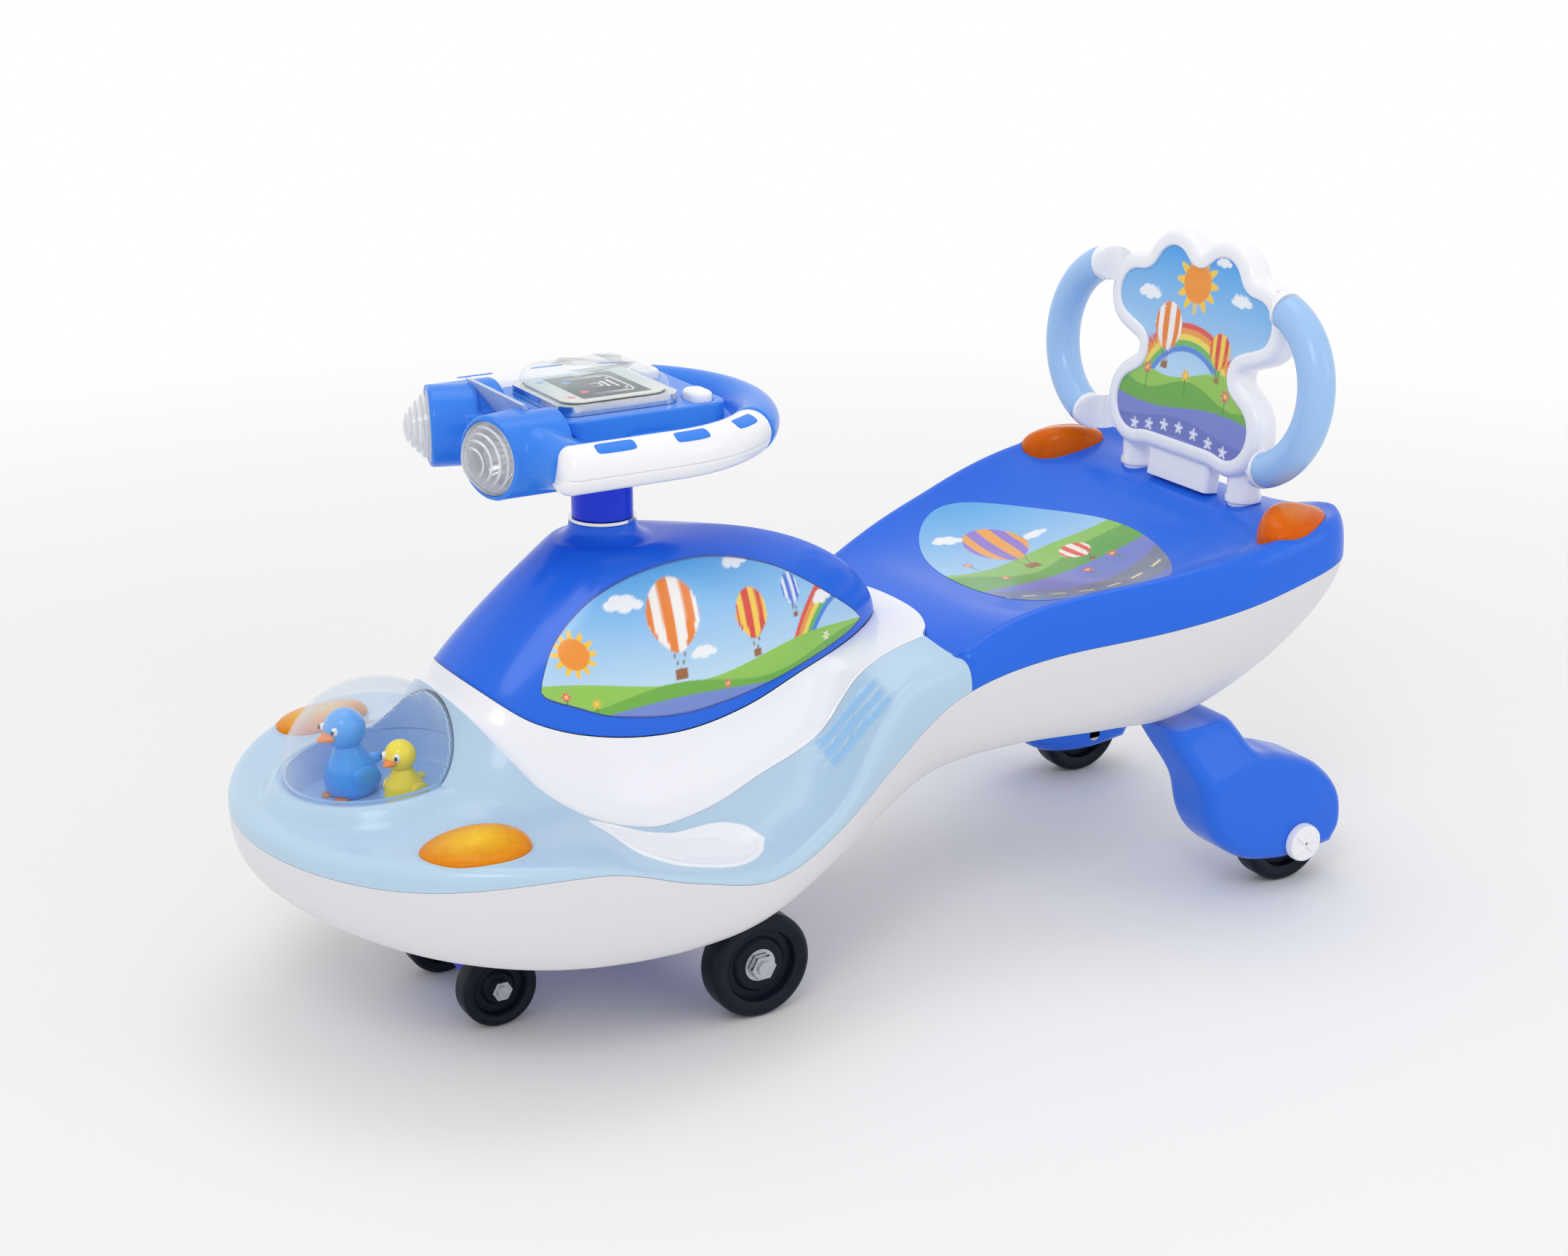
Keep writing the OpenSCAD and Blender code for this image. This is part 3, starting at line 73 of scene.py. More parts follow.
SEAT_FRONT = [(0, 90), (20, 89), (40, 85), (60, 76), (74, 66), (108, ARM_END)]


def mix(a, b, t):
    return a + (b - a) * t


def unit(t):
    return np.clip(t, 0.0, 1.0)


def turns_of(n):
    """Angles of n even steps round a circle."""
    return np.arange(n) * 2 * math.pi / n


def quarter(n):
    """Angles of n steps from 0 to a right angle."""
    return np.linspace(0, math.pi / 2, n)


def ease(t):
    """Smooth step from 0 to 1."""
    t = unit(t)
    return t * t * (3 - 2 * t)


def bulge(t, n):
    """Quarter of a superellipse, from 1 at t = 0 down to 0 at t = 1."""
    return np.maximum(0, 1 - unit(t) ** n) ** (1 / n)


def through(points, x):
    """Smooth line through points, as in the CAD source."""
    p = np.array(points, float)
    xs, ys, n = p[:, 0], p[:, 1], len(p)
    lo, hi = np.maximum(np.arange(n) - 1, 0), np.minimum(np.arange(n) + 1, n - 1)
    slope = (ys[hi] - ys[lo]) / (xs[hi] - xs[lo])
    x = np.clip(x, xs[0], xs[-1])
    i = np.clip(np.searchsorted(xs, x, side="right") - 1, 0, n - 2)
    h = xs[i + 1] - xs[i]
    t = (x - xs[i]) / h
    level = ys[i] * (1 + 2 * t) * (1 - t) ** 2 + ys[i + 1] * t * t * (3 - 2 * t)
    return level + h * (slope[i] * t * (1 - t) ** 2 - slope[i + 1] * t * t * (1 - t))


def half_w(x, d=0.0):
    """Half the body's width, less a wall d."""
    x = np.asarray(x, float)
    nose = np.where(x < NOSE_WIDE, bulge((NOSE_WIDE - x) / (NOSE_WIDE - NOSE_X - d), 2), 1)
    tail = np.where(x > TAIL_WIDE, bulge((x - TAIL_WIDE) / (TAIL_X - d - TAIL_WIDE), 5), 1)
    front = mix(NOSE_W, WAIST_W, ease(unit((x - NOSE_WIDE) / (WAIST_X - NOSE_WIDE)) ** 1.4))
    back = mix(WAIST_W, SEAT_W, ease((x - WAIST_X) / (TAIL_WIDE - WAIST_X)))
    return (np.where(x < WAIST_X, front, back) / 2 - d) * nose * tail


def rim_z(x):
    """Height of the tub's rim."""
    return through(RIM_LINE, x)


COVER_NOSE_X, COVER_WIDE_X = -256.0, -157.0
HOOD_NOSE_X, HOOD_WIDE_X, HOOD_LENGTH, HOOD_HALF = -249.0, -140.0, 212.0, 77.0


def cover_w(x):
    """Half the width of the white cover's outer edge."""
    front = COVER_W[0][1] * bulge((COVER_WIDE_X - x) / (COVER_WIDE_X - COVER_NOSE_X), 2.6)
    return np.where(x < COVER_WIDE_X, front, through(COVER_W, x))


def hood_w(x):
    """Half the width of the hood's edge."""
    front = HOOD_HALF * bulge((HOOD_WIDE_X - x) / (HOOD_WIDE_X - HOOD_NOSE_X), 2.5)
    rear = HOOD_HALF * np.maximum(0, 1 - ((x - HOOD_WIDE_X) / HOOD_LENGTH) ** 2) ** 0.8
    return np.where(x < HOOD_WIDE_X, front, rear)


# Stations round the body's edge, shared by the shells that meet there
ARM_ANGLE = math.acos(1 - 2 * (ARM_END - NOSE_X) / (TAIL_X - NOSE_X))
FRONT, REAR = 150, 90
front_angles = ARM_ANGLE * np.sin(math.pi / 2 * (np.arange(FRONT) + 0.5) / FRONT)
deck_angles = np.append(front_angles, ARM_ANGLE)
rear_angles = mix(ARM_ANGLE, math.pi, np.arange(1, REAR + 1) / (REAR + 0.25))
rim_angles = np.concatenate([deck_angles, rear_angles])


def loop_x(a, d=0.0):
    """Place along the body of a station angle: 0 at the nose, pi at the tail."""
    return mix(NOSE_X + d, TAIL_X - d, (1 - np.cos(a)) / 2)


def both(half):
    """A half ring with its mirror image."""
    return np.concatenate([half, half[::-1] * [1, -1, 1]])


# Materials
def linear(colour):
    """Scene-linear RGBA of an sRGB colour in levels of 255."""
    values = [c / 255 for c in colour]
    return tuple(v / 12.92 if v <= 0.04045 else ((v + 0.055) / 1.055) ** 2.4 for v in values) + (1.0,)


class Look:
    """A node material: helpers that add nodes and links around its Principled shader."""

    def __init__(self, name, **sockets):
        self.material = bpy.data.materials.new(name)
        self.material.use_nodes = True
        self.tree = self.material.node_tree
        self.shader = self.tree.nodes["Principled BSDF"]
        for socket, value in sockets.items():
            self.shader.inputs[socket.replace("_", " ")].default_value = value
        self.place = self.add("ShaderNodeTexCoord").outputs["Object"]

    def add(self, kind, links=None, **values):
        made = self.tree.nodes.new(kind)
        for key, value in values.items():
            if hasattr(made, key):
                setattr(made, key, value)
            else:
                made.inputs[key.replace("_", " ")].default_value = value
        for key, source in (links or {}).items():
            self.tree.links.new(source, made.inputs[key])
        return made

    def noise(self, scale, detail=2.0, stretch=None):
        place = self.place
        if stretch:
            place = self.add("ShaderNodeMapping", {"Vector": place}, Scale=stretch).outputs[0]
        return self.add("ShaderNodeTexNoise", {"Vector": place}, Scale=scale, Detail=detail).outputs["Fac"]

    def ramp(self, fac, low, high, a=0.3, b=0.7):
        made = self.add("ShaderNodeMapRange", {"Value": fac})
        for key, value in (("From Min", a), ("From Max", b), ("To Min", low), ("To Max", high)):
            made.inputs[key].default_value = value
        return made.outputs[0]

    def colours(self, fac, stops):
        made = self.add("ShaderNodeValToRGB", {"Fac": fac})
        band = made.color_ramp.elements
        while len(band) < len(stops):
            band.new(0.5)
        for element, (at, colour) in zip(band, stops):
            element.position = at
            element.color = colour
        return made.outputs["Color"]

    def drive(self, socket, source):
        self.tree.links.new(source, self.shader.inputs[socket])

    def paint(self):
        return self.add("ShaderNodeAttribute", attribute_name="paint").outputs["Color"]

    def times(self, a, b):
        made = self.add("ShaderNodeMix", data_type="RGBA", blend_type="MULTIPLY")
        made.inputs[0].default_value = 1.0
        self.tree.links.new(a, made.inputs[6])
        self.tree.links.new(b, made.inputs[7])
        return made.outputs[2]

    def bump(self, height, strength, distance=0.0003):
        made = self.add("ShaderNodeBump", {"Height": height}, Strength=strength, Distance=distance)
        self.drive("Normal", made.outputs[0])


def shade(colour, k):
    """A linear colour made k times as light."""
    return tuple(min(1.0, c * k) for c in colour[:3]) + (1.0,)


def plastic(name, colour, rough=0.27, grain=700, coat=0.2, vary=0.012, bump=0.03, shine=0.4):
    """Moulded plastic: a slight cloudiness in colour, fine orange peel and a slightly uneven gloss."""
    look = Look(name, IOR=1.46, Specular_IOR_Level=shine, Coat_Weight=coat, Coat_Roughness=0.06)
    base = linear(colour)
    tones = [(0.3, shade(base, 1 - vary)), (0.7, shade(base, 1 + vary))]
    look.drive("Base Color", look.colours(look.noise(5, 2), tones))
    look.drive("Roughness", look.ramp(look.noise(25, 2), rough - 0.015, rough + 0.02))
    look.bump(look.noise(grain, 2), bump)
    return look.material


def metal(name, colour, rough, streak):
    """Bright metal with fine lines along its streak."""
    look = Look(name, Metallic=1.0)
    base = linear(colour)
    lines = look.noise(240, 3, streak)
    look.drive("Base Color", look.colours(lines, [(0.3, shade(base, 0.86)), (0.7, base)]))
    look.drive("Roughness", look.ramp(lines, rough * 0.8, rough * 1.3))
    look.bump(lines, 0.04, 0.0001)
    return look.material


def clear(name, colour, thin, thick, rough=0.05):
    """Clear plastic wall: see-through face on, milkier towards its edges."""
    look = Look(name, IOR=1.49, Specular_IOR_Level=0.7, Coat_Weight=0.6, Coat_Roughness=0.03)
    base = linear(colour)
    haze = look.noise(22, 3)
    look.drive("Base Color", look.colours(haze, [(0.3, shade(base, 0.95)), (0.7, base)]))
    look.drive("Roughness", look.ramp(haze, rough, rough * 2))
    facing = look.add("ShaderNodeLayerWeight", Blend=0.35).outputs["Facing"]
    look.drive("Alpha", look.ramp(facing, thin, thick, 0.05, 0.95))
    look.bump(look.noise(300, 2), 0.02)
    return look.material


def lens(name, cell):
    """Coloured lamp lens: its tint comes from the paint attribute, broken up by facets moulded inside."""
    look = Look(name, IOR=1.46, Specular_IOR_Level=0.12, Roughness=0.16, Coat_Weight=0.06,
                Coat_Roughness=0.03)
    cells = look.add("ShaderNodeTexVoronoi", {"Vector": look.place}, Scale=cell)
    facets = look.colours(cells.outputs["Distance"], [(0.1, (1, 1, 1, 1)), (0.75, (0.93, 0.88, 0.8, 1))])
    look.drive("Base Color", look.times(look.paint(), facets))
    look.bump(look.noise(420, 2), 0.04)
    return look.material


def printed(name, rough=0.3):
    """Printed film: the colours come from the paint attribute, with a fine print grain."""
    look = Look(name, IOR=1.5, Coat_Weight=0.3, Coat_Roughness=0.1)
    grain = look.colours(look.noise(1400, 2), [(0.35, (0.94, 0.94, 0.94, 1)), (0.65, (1, 1, 1, 1))])
    look.drive("Base Color", look.times(look.paint(), grain))
    look.drive("Roughness", look.ramp(look.noise(40, 4), rough - 0.05, rough + 0.08))
    look.bump(look.noise(900, 2), 0.02)
    return look.material


WHITE = plastic("white_gloss", (246, 246, 250), 0.22, coat=0.3)
# Greyer than the gloss white: partly the tub's own off-white, partly painted shade of its shadowed underside
TUB_SHADED = plastic("tub_white_shaded", (226, 225, 229), 0.34, coat=0.1)
PALE = plastic("pale_blue", (184, 211, 232), 0.26)
PALE_SCOOP = plastic("pale_blue_scoop", (160, 204, 242), 0.3)
PALE_DEEP = plastic("pale_blue_grip", (158, 198, 242), 0.24)
BLUE = plastic("cornflower_blue", (38, 108, 230), 0.22, coat=0.1, shine=0.22)
AZURE = plastic("azure_blue", (54, 132, 236), 0.22, coat=0.1, shine=0.22)
DEEP = plastic("deep_blue", (14, 58, 220), 0.24, coat=0.1, shine=0.22)
AMBER = lens("amber_lens", 210)
ORANGE = lens("orange_lens", 420)
CLEAR = clear("clear_wall", (240, 248, 255), 0.03, 0.4)
LENS_CLEAR = clear("clear_lens", (232, 236, 244), 0.12, 0.5)
# Near-opaque white for the headlight lens's risers: painted glints standing in for the bright rings that
# light through the steps makes
LENS_GLINT = clear("clear_step_glint", (250, 251, 255), 0.55, 0.9)
FROST = clear("clear_screen", (226, 231, 238), 0.42, 0.8, 0.14)
CHROME = metal("chrome", (226, 228, 232), 0.1, (1, 1, 1))
STEEL = metal("steel", (196, 199, 204), 0.26, (1, 6, 1))
BLACK = plastic("wheel_black", (14, 22, 36), 0.42, grain=260, coat=0, vary=0.2, bump=0.15, shine=0.2)
BIRD_BLUE = plastic("toy_blue", (44, 160, 248), 0.24)
BIRD_YELLOW = plastic("toy_yellow", (250, 226, 30), 0.24)
BEAK = plastic("toy_orange", (240, 130, 30), 0.28)
INK = plastic("toy_black", (24, 26, 34), 0.3)
BOARD = plastic("board_green", (40, 110, 80), 0.45)
PRINT = printed("print_film")


# Mesh making
POINT_R = 0.02


def link(obj, body, stands_for=()):
    """Puts a piece on its body and in place of the CAD nodes that it stands for."""
    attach(obj, body)
    if stands_for:
        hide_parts(*stands_for)
    return obj


def put(name, data):
    """A new object in the scene."""
    obj = bpy.data.objects.new(name, data)
    scene.collection.objects.link(obj)
    return obj


class Kit:
    """Gathers closed shapes into one mesh, each with its own material."""

    def __init__(self):
        self.verts, self.faces, self.kinds, self.inks, self.count = [], [], [], [], 0

    def add(self, shape, kind=0, ink=None):
        verts, faces = shape
        self.verts.append(np.asarray(verts, float))
        self.faces += [[i + self.count for i in f] for f in faces]
        self.kinds += [kind] * len(faces)
        self.inks.append(np.ones((len(verts), 3)) if ink is None else ink)
        self.count += len(verts)
        return self

    def build(self, name, materials, body, slot=None, stands_for=(), sharp=40, painted=False):
        mesh = bpy.data.meshes.new(name)
        mesh.from_pydata((np.concatenate(self.verts) * MM).tolist(), [], self.faces)
        mesh.polygons.foreach_set("material_index", self.kinds)
        if painted:
            paint = mesh.color_attributes.new("paint", "FLOAT_COLOR", "POINT")
            inks = np.concatenate(self.inks)
            paint.data.foreach_set("color", np.column_stack([inks, np.ones(len(inks))]).ravel())
        for material in materials:
            mesh.materials.append(material)
        tidy(mesh, sharp)
        return link(put(name, mesh), body, stands_for)


def tidy(mesh, sharp):
    """Turns all faces outwards and shades the mesh smooth up to an angle."""
    work = bmesh.new()
    work.from_mesh(mesh)
    bmesh.ops.recalc_face_normals(work, faces=work.faces)
    work.to_mesh(mesh)
    work.free()
    mesh.shade_smooth()
    mesh.set_sharp_from_angle(angle=math.radians(sharp))
    mesh.update()


def ladder(n, start):
    """Rungs across a flat ring of n points."""
    return [[start + k, start + n - 1 - k, start + n - 2 - k, start + k + 1] for k in range(n // 2 - 1)]


def skin(rings, endless=False, caps=True):
    """Closed skin over rings of points; the ends are shut by ladders or run into each other."""
    m, n = len(rings), len(rings[0])
    faces = []
    for i in range(m if endless else m - 1):
        j = (i + 1) % m
        faces += [[i * n + k, i * n + (k + 1) % n, j * n + (k + 1) % n, j * n + k] for k in range(n)]
    if caps and not endless:
        faces += ladder(n, 0) + ladder(n, (m - 1) * n)
    return np.concatenate(rings), faces


def closed(rings):
    """Skin over rings of points, shut by a flat face at each end."""
    verts, faces = skin(rings, caps=False)
    n, last = len(rings[0]), len(rings) - 1
    return verts, faces + [list(range(n)), list(range(last * n, (last + 1) * n))]


def slab(top, under, m, n, endless=False):
    """Thin closed piece between two grids of m rows and n columns; endless columns run round."""
    quads = [[i * n + j, i * n + (j + 1) % n, (i + 1) * n + (j + 1) % n, (i + 1) * n + j]
             for i in range(m - 1) for j in range(n if endless else n - 1)]
    if endless:
        quads.append(list(range(n)))
        rim = [(m - 1) * n + j for j in range(n)]
    else:
        rim = [*range(n)] + [i * n + n - 1 for i in range(1, m)]
        rim += [(m - 1) * n + j for j in range(n - 2, -1, -1)] + [i * n for i in range(m - 2, 0, -1)]
    walls = [[a, b, b + m * n, a + m * n] for a, b in zip(rim, rim[1:] + rim[:1])]
    lower = [[q + m * n for q in face[::-1]] for face in quads]
    return np.concatenate([top, under]), quads + walls + lower


def lathe(profile, steps=72):
    """Revolves (radius, height) pairs about z; radius 0 at an end closes it to a point."""
    a = turns_of(steps)
    profile = [(max(r, POINT_R), z) for r, z in profile]
    return closed([np.stack([r * np.cos(a), r * np.sin(a), np.full(steps, z)], 1) for r, z in profile])


def ball(centre, radii, steps=36):
    """Ellipsoid, turned about z."""
    q = np.linspace(-math.pi / 2, math.pi / 2, steps // 2)
    shape = lathe([(math.cos(v), math.sin(v)) for v in q], steps)
    return shape[0] * radii + centre, shape[1]


def tube(path, radii, steps=28):
    """Round bar along a path, closed by its end rings."""
    path = np.asarray(path, float)
    radii = np.broadcast_to(radii, len(path))
    along = np.gradient(path, axis=0)
    along /= np.linalg.norm(along, axis=1)[:, None]
    up = np.array([0.0, 0.0, 1.0]) if abs(along[0][2]) < 0.9 else np.array([1.0, 0.0, 0.0])
    a = turns_of(steps)
    rings = []
    for p, t, r in zip(path, along, radii):
        side = np.cross(up, t)
        side /= np.linalg.norm(side)
        up = np.cross(t, side)
        rings.append(p + r * (np.outer(np.cos(a), side) + np.outer(np.sin(a), up)))
    return closed(rings)


def moved(shape, matrix):
    """A shape, or bare points with no faces, put in place by a matrix."""
    verts = np.asarray(shape[0]) @ np.array(matrix.to_3x3()).T + np.array(matrix.translation)
    return verts, shape[1]


def spin(degrees, axis):
    return Matrix.Rotation(math.radians(degrees), 4, axis)


def place(x, y, z, turn=0):
    return Matrix.Translation((x, y, z)) @ spin(turn, "Z")


def rounded_outline(x0, x1, w, r, steps=9):
    """Rectangle with round corners, as points in order."""
    a = quarter(steps)
    corner = np.stack([np.cos(a), np.sin(a)], 1) * r
    left, right, side = x0 + r, x1 - r, w / 2 - r
    points = []
    for k, (cx, cy) in enumerate([(right, side), (left, side), (left, -side), (right, -side)]):
        c, s = round(math.cos(k * math.pi / 2)), round(math.sin(k * math.pi / 2))
        points.append(corner @ np.array([[c, s], [-s, c]]) + [cx, cy])
    return np.concatenate(points)


def normals_of(outline):
    """Unit normals of a closed outline, to the left of its direction."""
    t = np.roll(outline, -1, 0) - np.roll(outline, 1, 0)
    return np.stack([-t[:, 1], t[:, 0]], 1) / np.linalg.norm(t, axis=1)[:, None]


def pillow(outline, levels):
    """Closed block over an outline: levels are (inset, height); the outline shrinks by its own normals."""
    normals = normals_of(outline)
    return closed([np.column_stack([outline + normals * d, np.full(len(outline), h)]) for d, h in levels])


def edge_levels(h, r, foot=0.0):
    """Levels of a block whose top edge is rounded by r."""
    return [(0, foot)] + [(r * (1 - math.cos(v)), h - r + r * math.sin(v)) for v in quarter(6)]


def baked(obj):
    """The mesh of obj with its modifiers applied."""
    bpy.context.view_layer.update()
    mesh = bpy.data.meshes.new_from_object(obj.evaluated_get(bpy.context.evaluated_depsgraph_get()))
    obj.modifiers.clear()
    obj.data = mesh
    return mesh


def shell(name, shape, material, slot, node, sharp=40, body="chassis"):
    """One closed shape in one material, in place of a CAD node."""
    return Kit().add(shape).build(name, [material], body, slot, [node], sharp)


def mesh_of(shapes, name):
    """Bare mesh of closed shapes, for a cut or a melt."""
    kit = Kit()
    for shape in shapes:
        kit.add(shape)
    mesh = bpy.data.meshes.new(name)
    mesh.from_pydata((np.concatenate(kit.verts) * MM).tolist(), [], kit.faces)
    tidy(mesh, 30)
    return mesh


def cut(obj, *shapes):
    """Takes closed shapes away from obj."""
    tool = put("cutter", mesh_of(shapes, "cutter"))
    mod = obj.modifiers.new("cut", "BOOLEAN")
    mod.operation, mod.object, mod.solver = "DIFFERENCE", tool, "EXACT"
    mesh = baked(obj)
    bpy.data.objects.remove(tool)
    mesh.shade_smooth()
    mesh.set_sharp_from_angle(angle=math.radians(40))


def softened(name, node, voxel, rounds, material, extra=()):
    """A CAD solid of the steering, with any added shapes, melted into one moulding with rounded edges."""
    work = bmesh.new()
    work.from_mesh(nodes[node].data)
    if extra:
        work.from_mesh(mesh_of(extra, "more"))
    mesh = bpy.data.meshes.new(name)
    work.to_mesh(mesh)
    work.free()
    obj = put(name, mesh)
    melt = obj.modifiers.new("melt", "REMESH")
    melt.mode, melt.voxel_size = "VOXEL", voxel * MM
    relax = obj.modifiers.new("relax", "SMOOTH")
    relax.factor, relax.iterations = 0.5, rounds
    mesh = baked(obj)
    mesh.materials.clear()
    mesh.materials.append(material)
    mesh.shade_smooth()
    return link(obj, "steering", [node])


def dress(material, *names, bevel=0.0):
    """Gives CAD nodes that stay in view their finish and softens their edges."""
    for n in names:
        obj = nodes[n]
        obj.data.materials.clear()
        obj.data.materials.append(material)
        obj.data.shade_smooth()
        obj.data.set_sharp_from_angle(angle=math.radians(30))
        if bevel:
            mod = obj.modifiers.new("edge", "BEVEL")
            mod.width, mod.segments, mod.limit_method = bevel * MM, 2, "ANGLE"
            mod.angle_limit = math.radians(40)
            mod.harden_normals = True


def surface_of(obj):
    """Tree for casting rays on a piece."""
    work = bmesh.new()
    work.from_mesh(obj.data)
    tree = BVHTree.FromBMesh(work)
    work.free()
    return tree


# Lower tub
def toward_tail(x):
    return ease((x - WAIST_X) / (TAIL_WIDE - WAIST_X))


def tub_ring(q, d):
    """Ring round the tub: q is 0 at the rim and a right angle at the belly; d is the wall."""
    rx = loop_x(rim_angles, d)
    t = toward_tail(rx)
    f = mix(FLARE, TAIL_FLARE, t) + d
    bx = np.array([loop_x(a, v) for a, v in zip(rim_angles, f)])
    e = mix(0.8, 1.35, t * t)
    h, v = 1 - max(0.0, math.cos(q)) ** e, math.sin(q) ** e
    wide = mix(half_w(rx, d), np.array([half_w(x, g) for x, g in zip(bx, f)]), h)
    low = BELLY_Z + through(BELLY_RISE, bx) + d
    return both(np.stack([mix(rx, bx, h), -wide, mix(rim_z(rx), low, v)], 1))


outer = [tub_ring(q, 0) for q in np.linspace(math.pi / 2, 0, 26)]
inner = [tub_ring(q, WALL) for q in quarter(10)]
shell("tub_shell", skin(outer + inner), TUB_SHADED, "white_plastic", "lower_tub")


# Front deck with its shoulders
DECK_TURN_X, DECK_TUCK = -150.0, 16.0


def inner_x(x):
    """Place on the cover's edge that a place on the body's edge looks to."""
    front = mix(COVER_NOSE_X, DECK_TURN_X, unit((x - NOSE_X) / (DECK_TURN_X - NOSE_X)))
    return np.where(x < DECK_TURN_X, front, x - DECK_TUCK * np.maximum(0, x / ARM_END) ** 2)


ROLL = 12.0
SCOOP_FROM_X, SCOOP_TO_X, SCOOP_Y, SCOOP_PITCH, SCOOP_COUNT, SCOOP_DEPTH = -30.0, 20.0, 84.0, 9.5, 3, 2.2


def scoops(x, y):
    """Depth of the scooped channels on the front slope of each shoulder."""
    along = ease((x - SCOOP_FROM_X) / 6) * ease((SCOOP_TO_X - x) / 7)
    across = (np.abs(y) - SCOOP_Y) / SCOOP_PITCH
    inside = ease(across * 4) * ease((SCOOP_COUNT - across) * 4)
    tooth = across - np.floor(across)
    return SCOOP_DEPTH * along * inside * (1 - tooth) ** 0.8 * ease(tooth * 9)


def deck_section(a, side):
    """Section of the deck at a station, from the cover's edge out over the rolled rim and back underneath."""
    x = loop_x(a)
    xi = inner_x(x)
    yi, zi = cover_w(xi) + SEAM, through(COVER_LINE, xi)
    ze, zr, w = through(EDGE_LINE, x), rim_z(x) + SEAM, half_w(x)
    reach = math.hypot(x - xi, w - yi)
    stop = 1 - ROLL / reach
    bend = mix(3, 1.2, ease((x - DECK_TURN_X) / -DECK_TURN_X))
    t = np.linspace(0, 1, 44)
    out = t * stop
    top = np.stack([mix(xi, x, out), side * mix(yi, w, out), ze + (zi - ze) * (1 - t) ** bend], 1)
    under = top[::-4] - [0, 0, WALL]
    top[:, 2] -= scoops(top[:, 0], top[:, 1])
    u = quarter(12)[1:]
    back, share = ROLL * (1 - np.sin(u) ** 0.8), np.maximum(0, np.cos(u)) ** 0.8

    def roll(back, share):
        k = 1 - back / reach
        return np.stack([mix(xi, x, k), side * mix(yi, w, k), mix(zr, ze, share)], 1)

    inside = roll(np.array([WALL, WALL + 1.5, WALL + 5]), np.array([0, 0.45, 0.68]))
    return np.concatenate([top, roll(back, share), inside, under])


sections = [deck_section(a, -1) for a in deck_angles[::-1]] + [deck_section(a, 1) for a in deck_angles]
deck = Kit().add(skin(sections)).build("deck_shell", [PALE, PALE_SCOOP], "chassis", "pale_blue_plastic",
                                       ["front_deck"], 60)
for face in deck.data.polygons:
    x, y, _ = face.center / MM
    if face.normal.z > 0 and scoops(x, y) > 0.5:
        face.material_index = 1

# Height of the seat, which the cover's rear edge reaches down to
CREST = 12.0


def seat_crest(x):
    """Height of the seat's raised border."""
    return rim_z(x) + through(SEAT_SIDE, x)


def seat_z(x, y):
    """Height of the dished seat."""
    return seat_crest(x) - through(SEAT_DISH, x) * (1 - unit(np.abs(y) / (half_w(x) - CREST)) ** 3)


# White centre cover and hood, on shared edges
REAR_STEPS, COVER_CORNER = 26, 74.0
rear_y = np.linspace(COVER_CORNER, 0.6, REAR_STEPS + 1)[1:]
SEAT_CORNER_X = 66.0
HOOD_CORNER_X, HOOD_END_X = 58.0, 72.0


def along_cover():
    """Outer edge of the cover: along the deck, then across the seat's front."""
    x = inner_x(loop_x(deck_angles))
    side = np.stack([x, -cover_w(x), through(COVER_LINE, x)], 1)
    xr = through(SEAT_FRONT, rear_y)
    return np.concatenate([side, np.stack([xr - SEAM, -rear_y, through(COVER_LINE, xr)], 1)])


def along_hood():
    """Lower edge of the hood, with a point for each of the cover's."""
    share = (along_cover()[:FRONT + 1, 0] - COVER_NOSE_X) / (SEAT_CORNER_X - COVER_NOSE_X)
    rear = mix(HOOD_CORNER_X, HOOD_END_X, np.arange(1, REAR_STEPS + 1) / (REAR_STEPS + 0.4))
    x = np.concatenate([mix(HOOD_NOSE_X, HOOD_CORNER_X, share), rear])
    return np.stack([x, -hood_w(x), through(HOOD_LINE, x)], 1)


cover_edge, hood_edge = along_cover(), along_hood()


def inward(p, d):
    """Points moved by d towards the column."""
    v = np.stack([COLUMN_X - p[:, 0], -p[:, 1]], 1)
    v /= np.maximum(1, np.linalg.norm(v, axis=1))[:, None]
    return p + np.column_stack([v * d, np.zeros(len(p))])


def cover_ring(t, d):
    """Ring of the cover: t is 0 at the hood's edge and 1 at the outer edge; d is the wall."""
    p = inward(mix(hood_edge, cover_edge, t), d)
    p[:, 2] = mix(hood_edge[:, 2] - SEAM, cover_edge[:, 2], 1 - (1 - t) ** 1.7) - d
    return both(p)


def cover_skirt(d):
    """Rear edge of the cover, carried down past the seat's front edge, so that no gap opens over the seat."""
    p = inward(cover_edge, d)
    rear = p[-REAR_STEPS:]
    rear[:, 2] -= np.maximum(0, rear[:, 2] - seat_z(cover_edge[-REAR_STEPS:, 0], rear_y) + 2)
    return both(p)


COVER_WALL, SKIRT_LAP = 2.1, 0.2
rows = [cover_ring(t, 0) for t in np.linspace(0, 1, 26)]
rows += [cover_skirt(SKIRT_LAP), cover_skirt(COVER_WALL - SKIRT_LAP)]
rows += [cover_ring(t, COVER_WALL) for t in np.linspace(1, 0, 8)]
shell("centre_cover_shell", skin(rows, endless=True), WHITE, "white_plastic", "centre_cover")

NECK_R, NECK_Z, COLLAR_R, COLLAR_BORE, SOCKET_Z = 34.0, COLLAR_Z - 12, 22.0, 14.5, 284.0
away = hood_edge[:, :2] - [COLUMN_X, 0]
away /= np.linalg.norm(away, axis=1)[:, None]


def hood_round(r, z):
    """Ring about the column."""
    return both(np.column_stack([away * r + [COLUMN_X, 0], np.full(len(away), z)]))


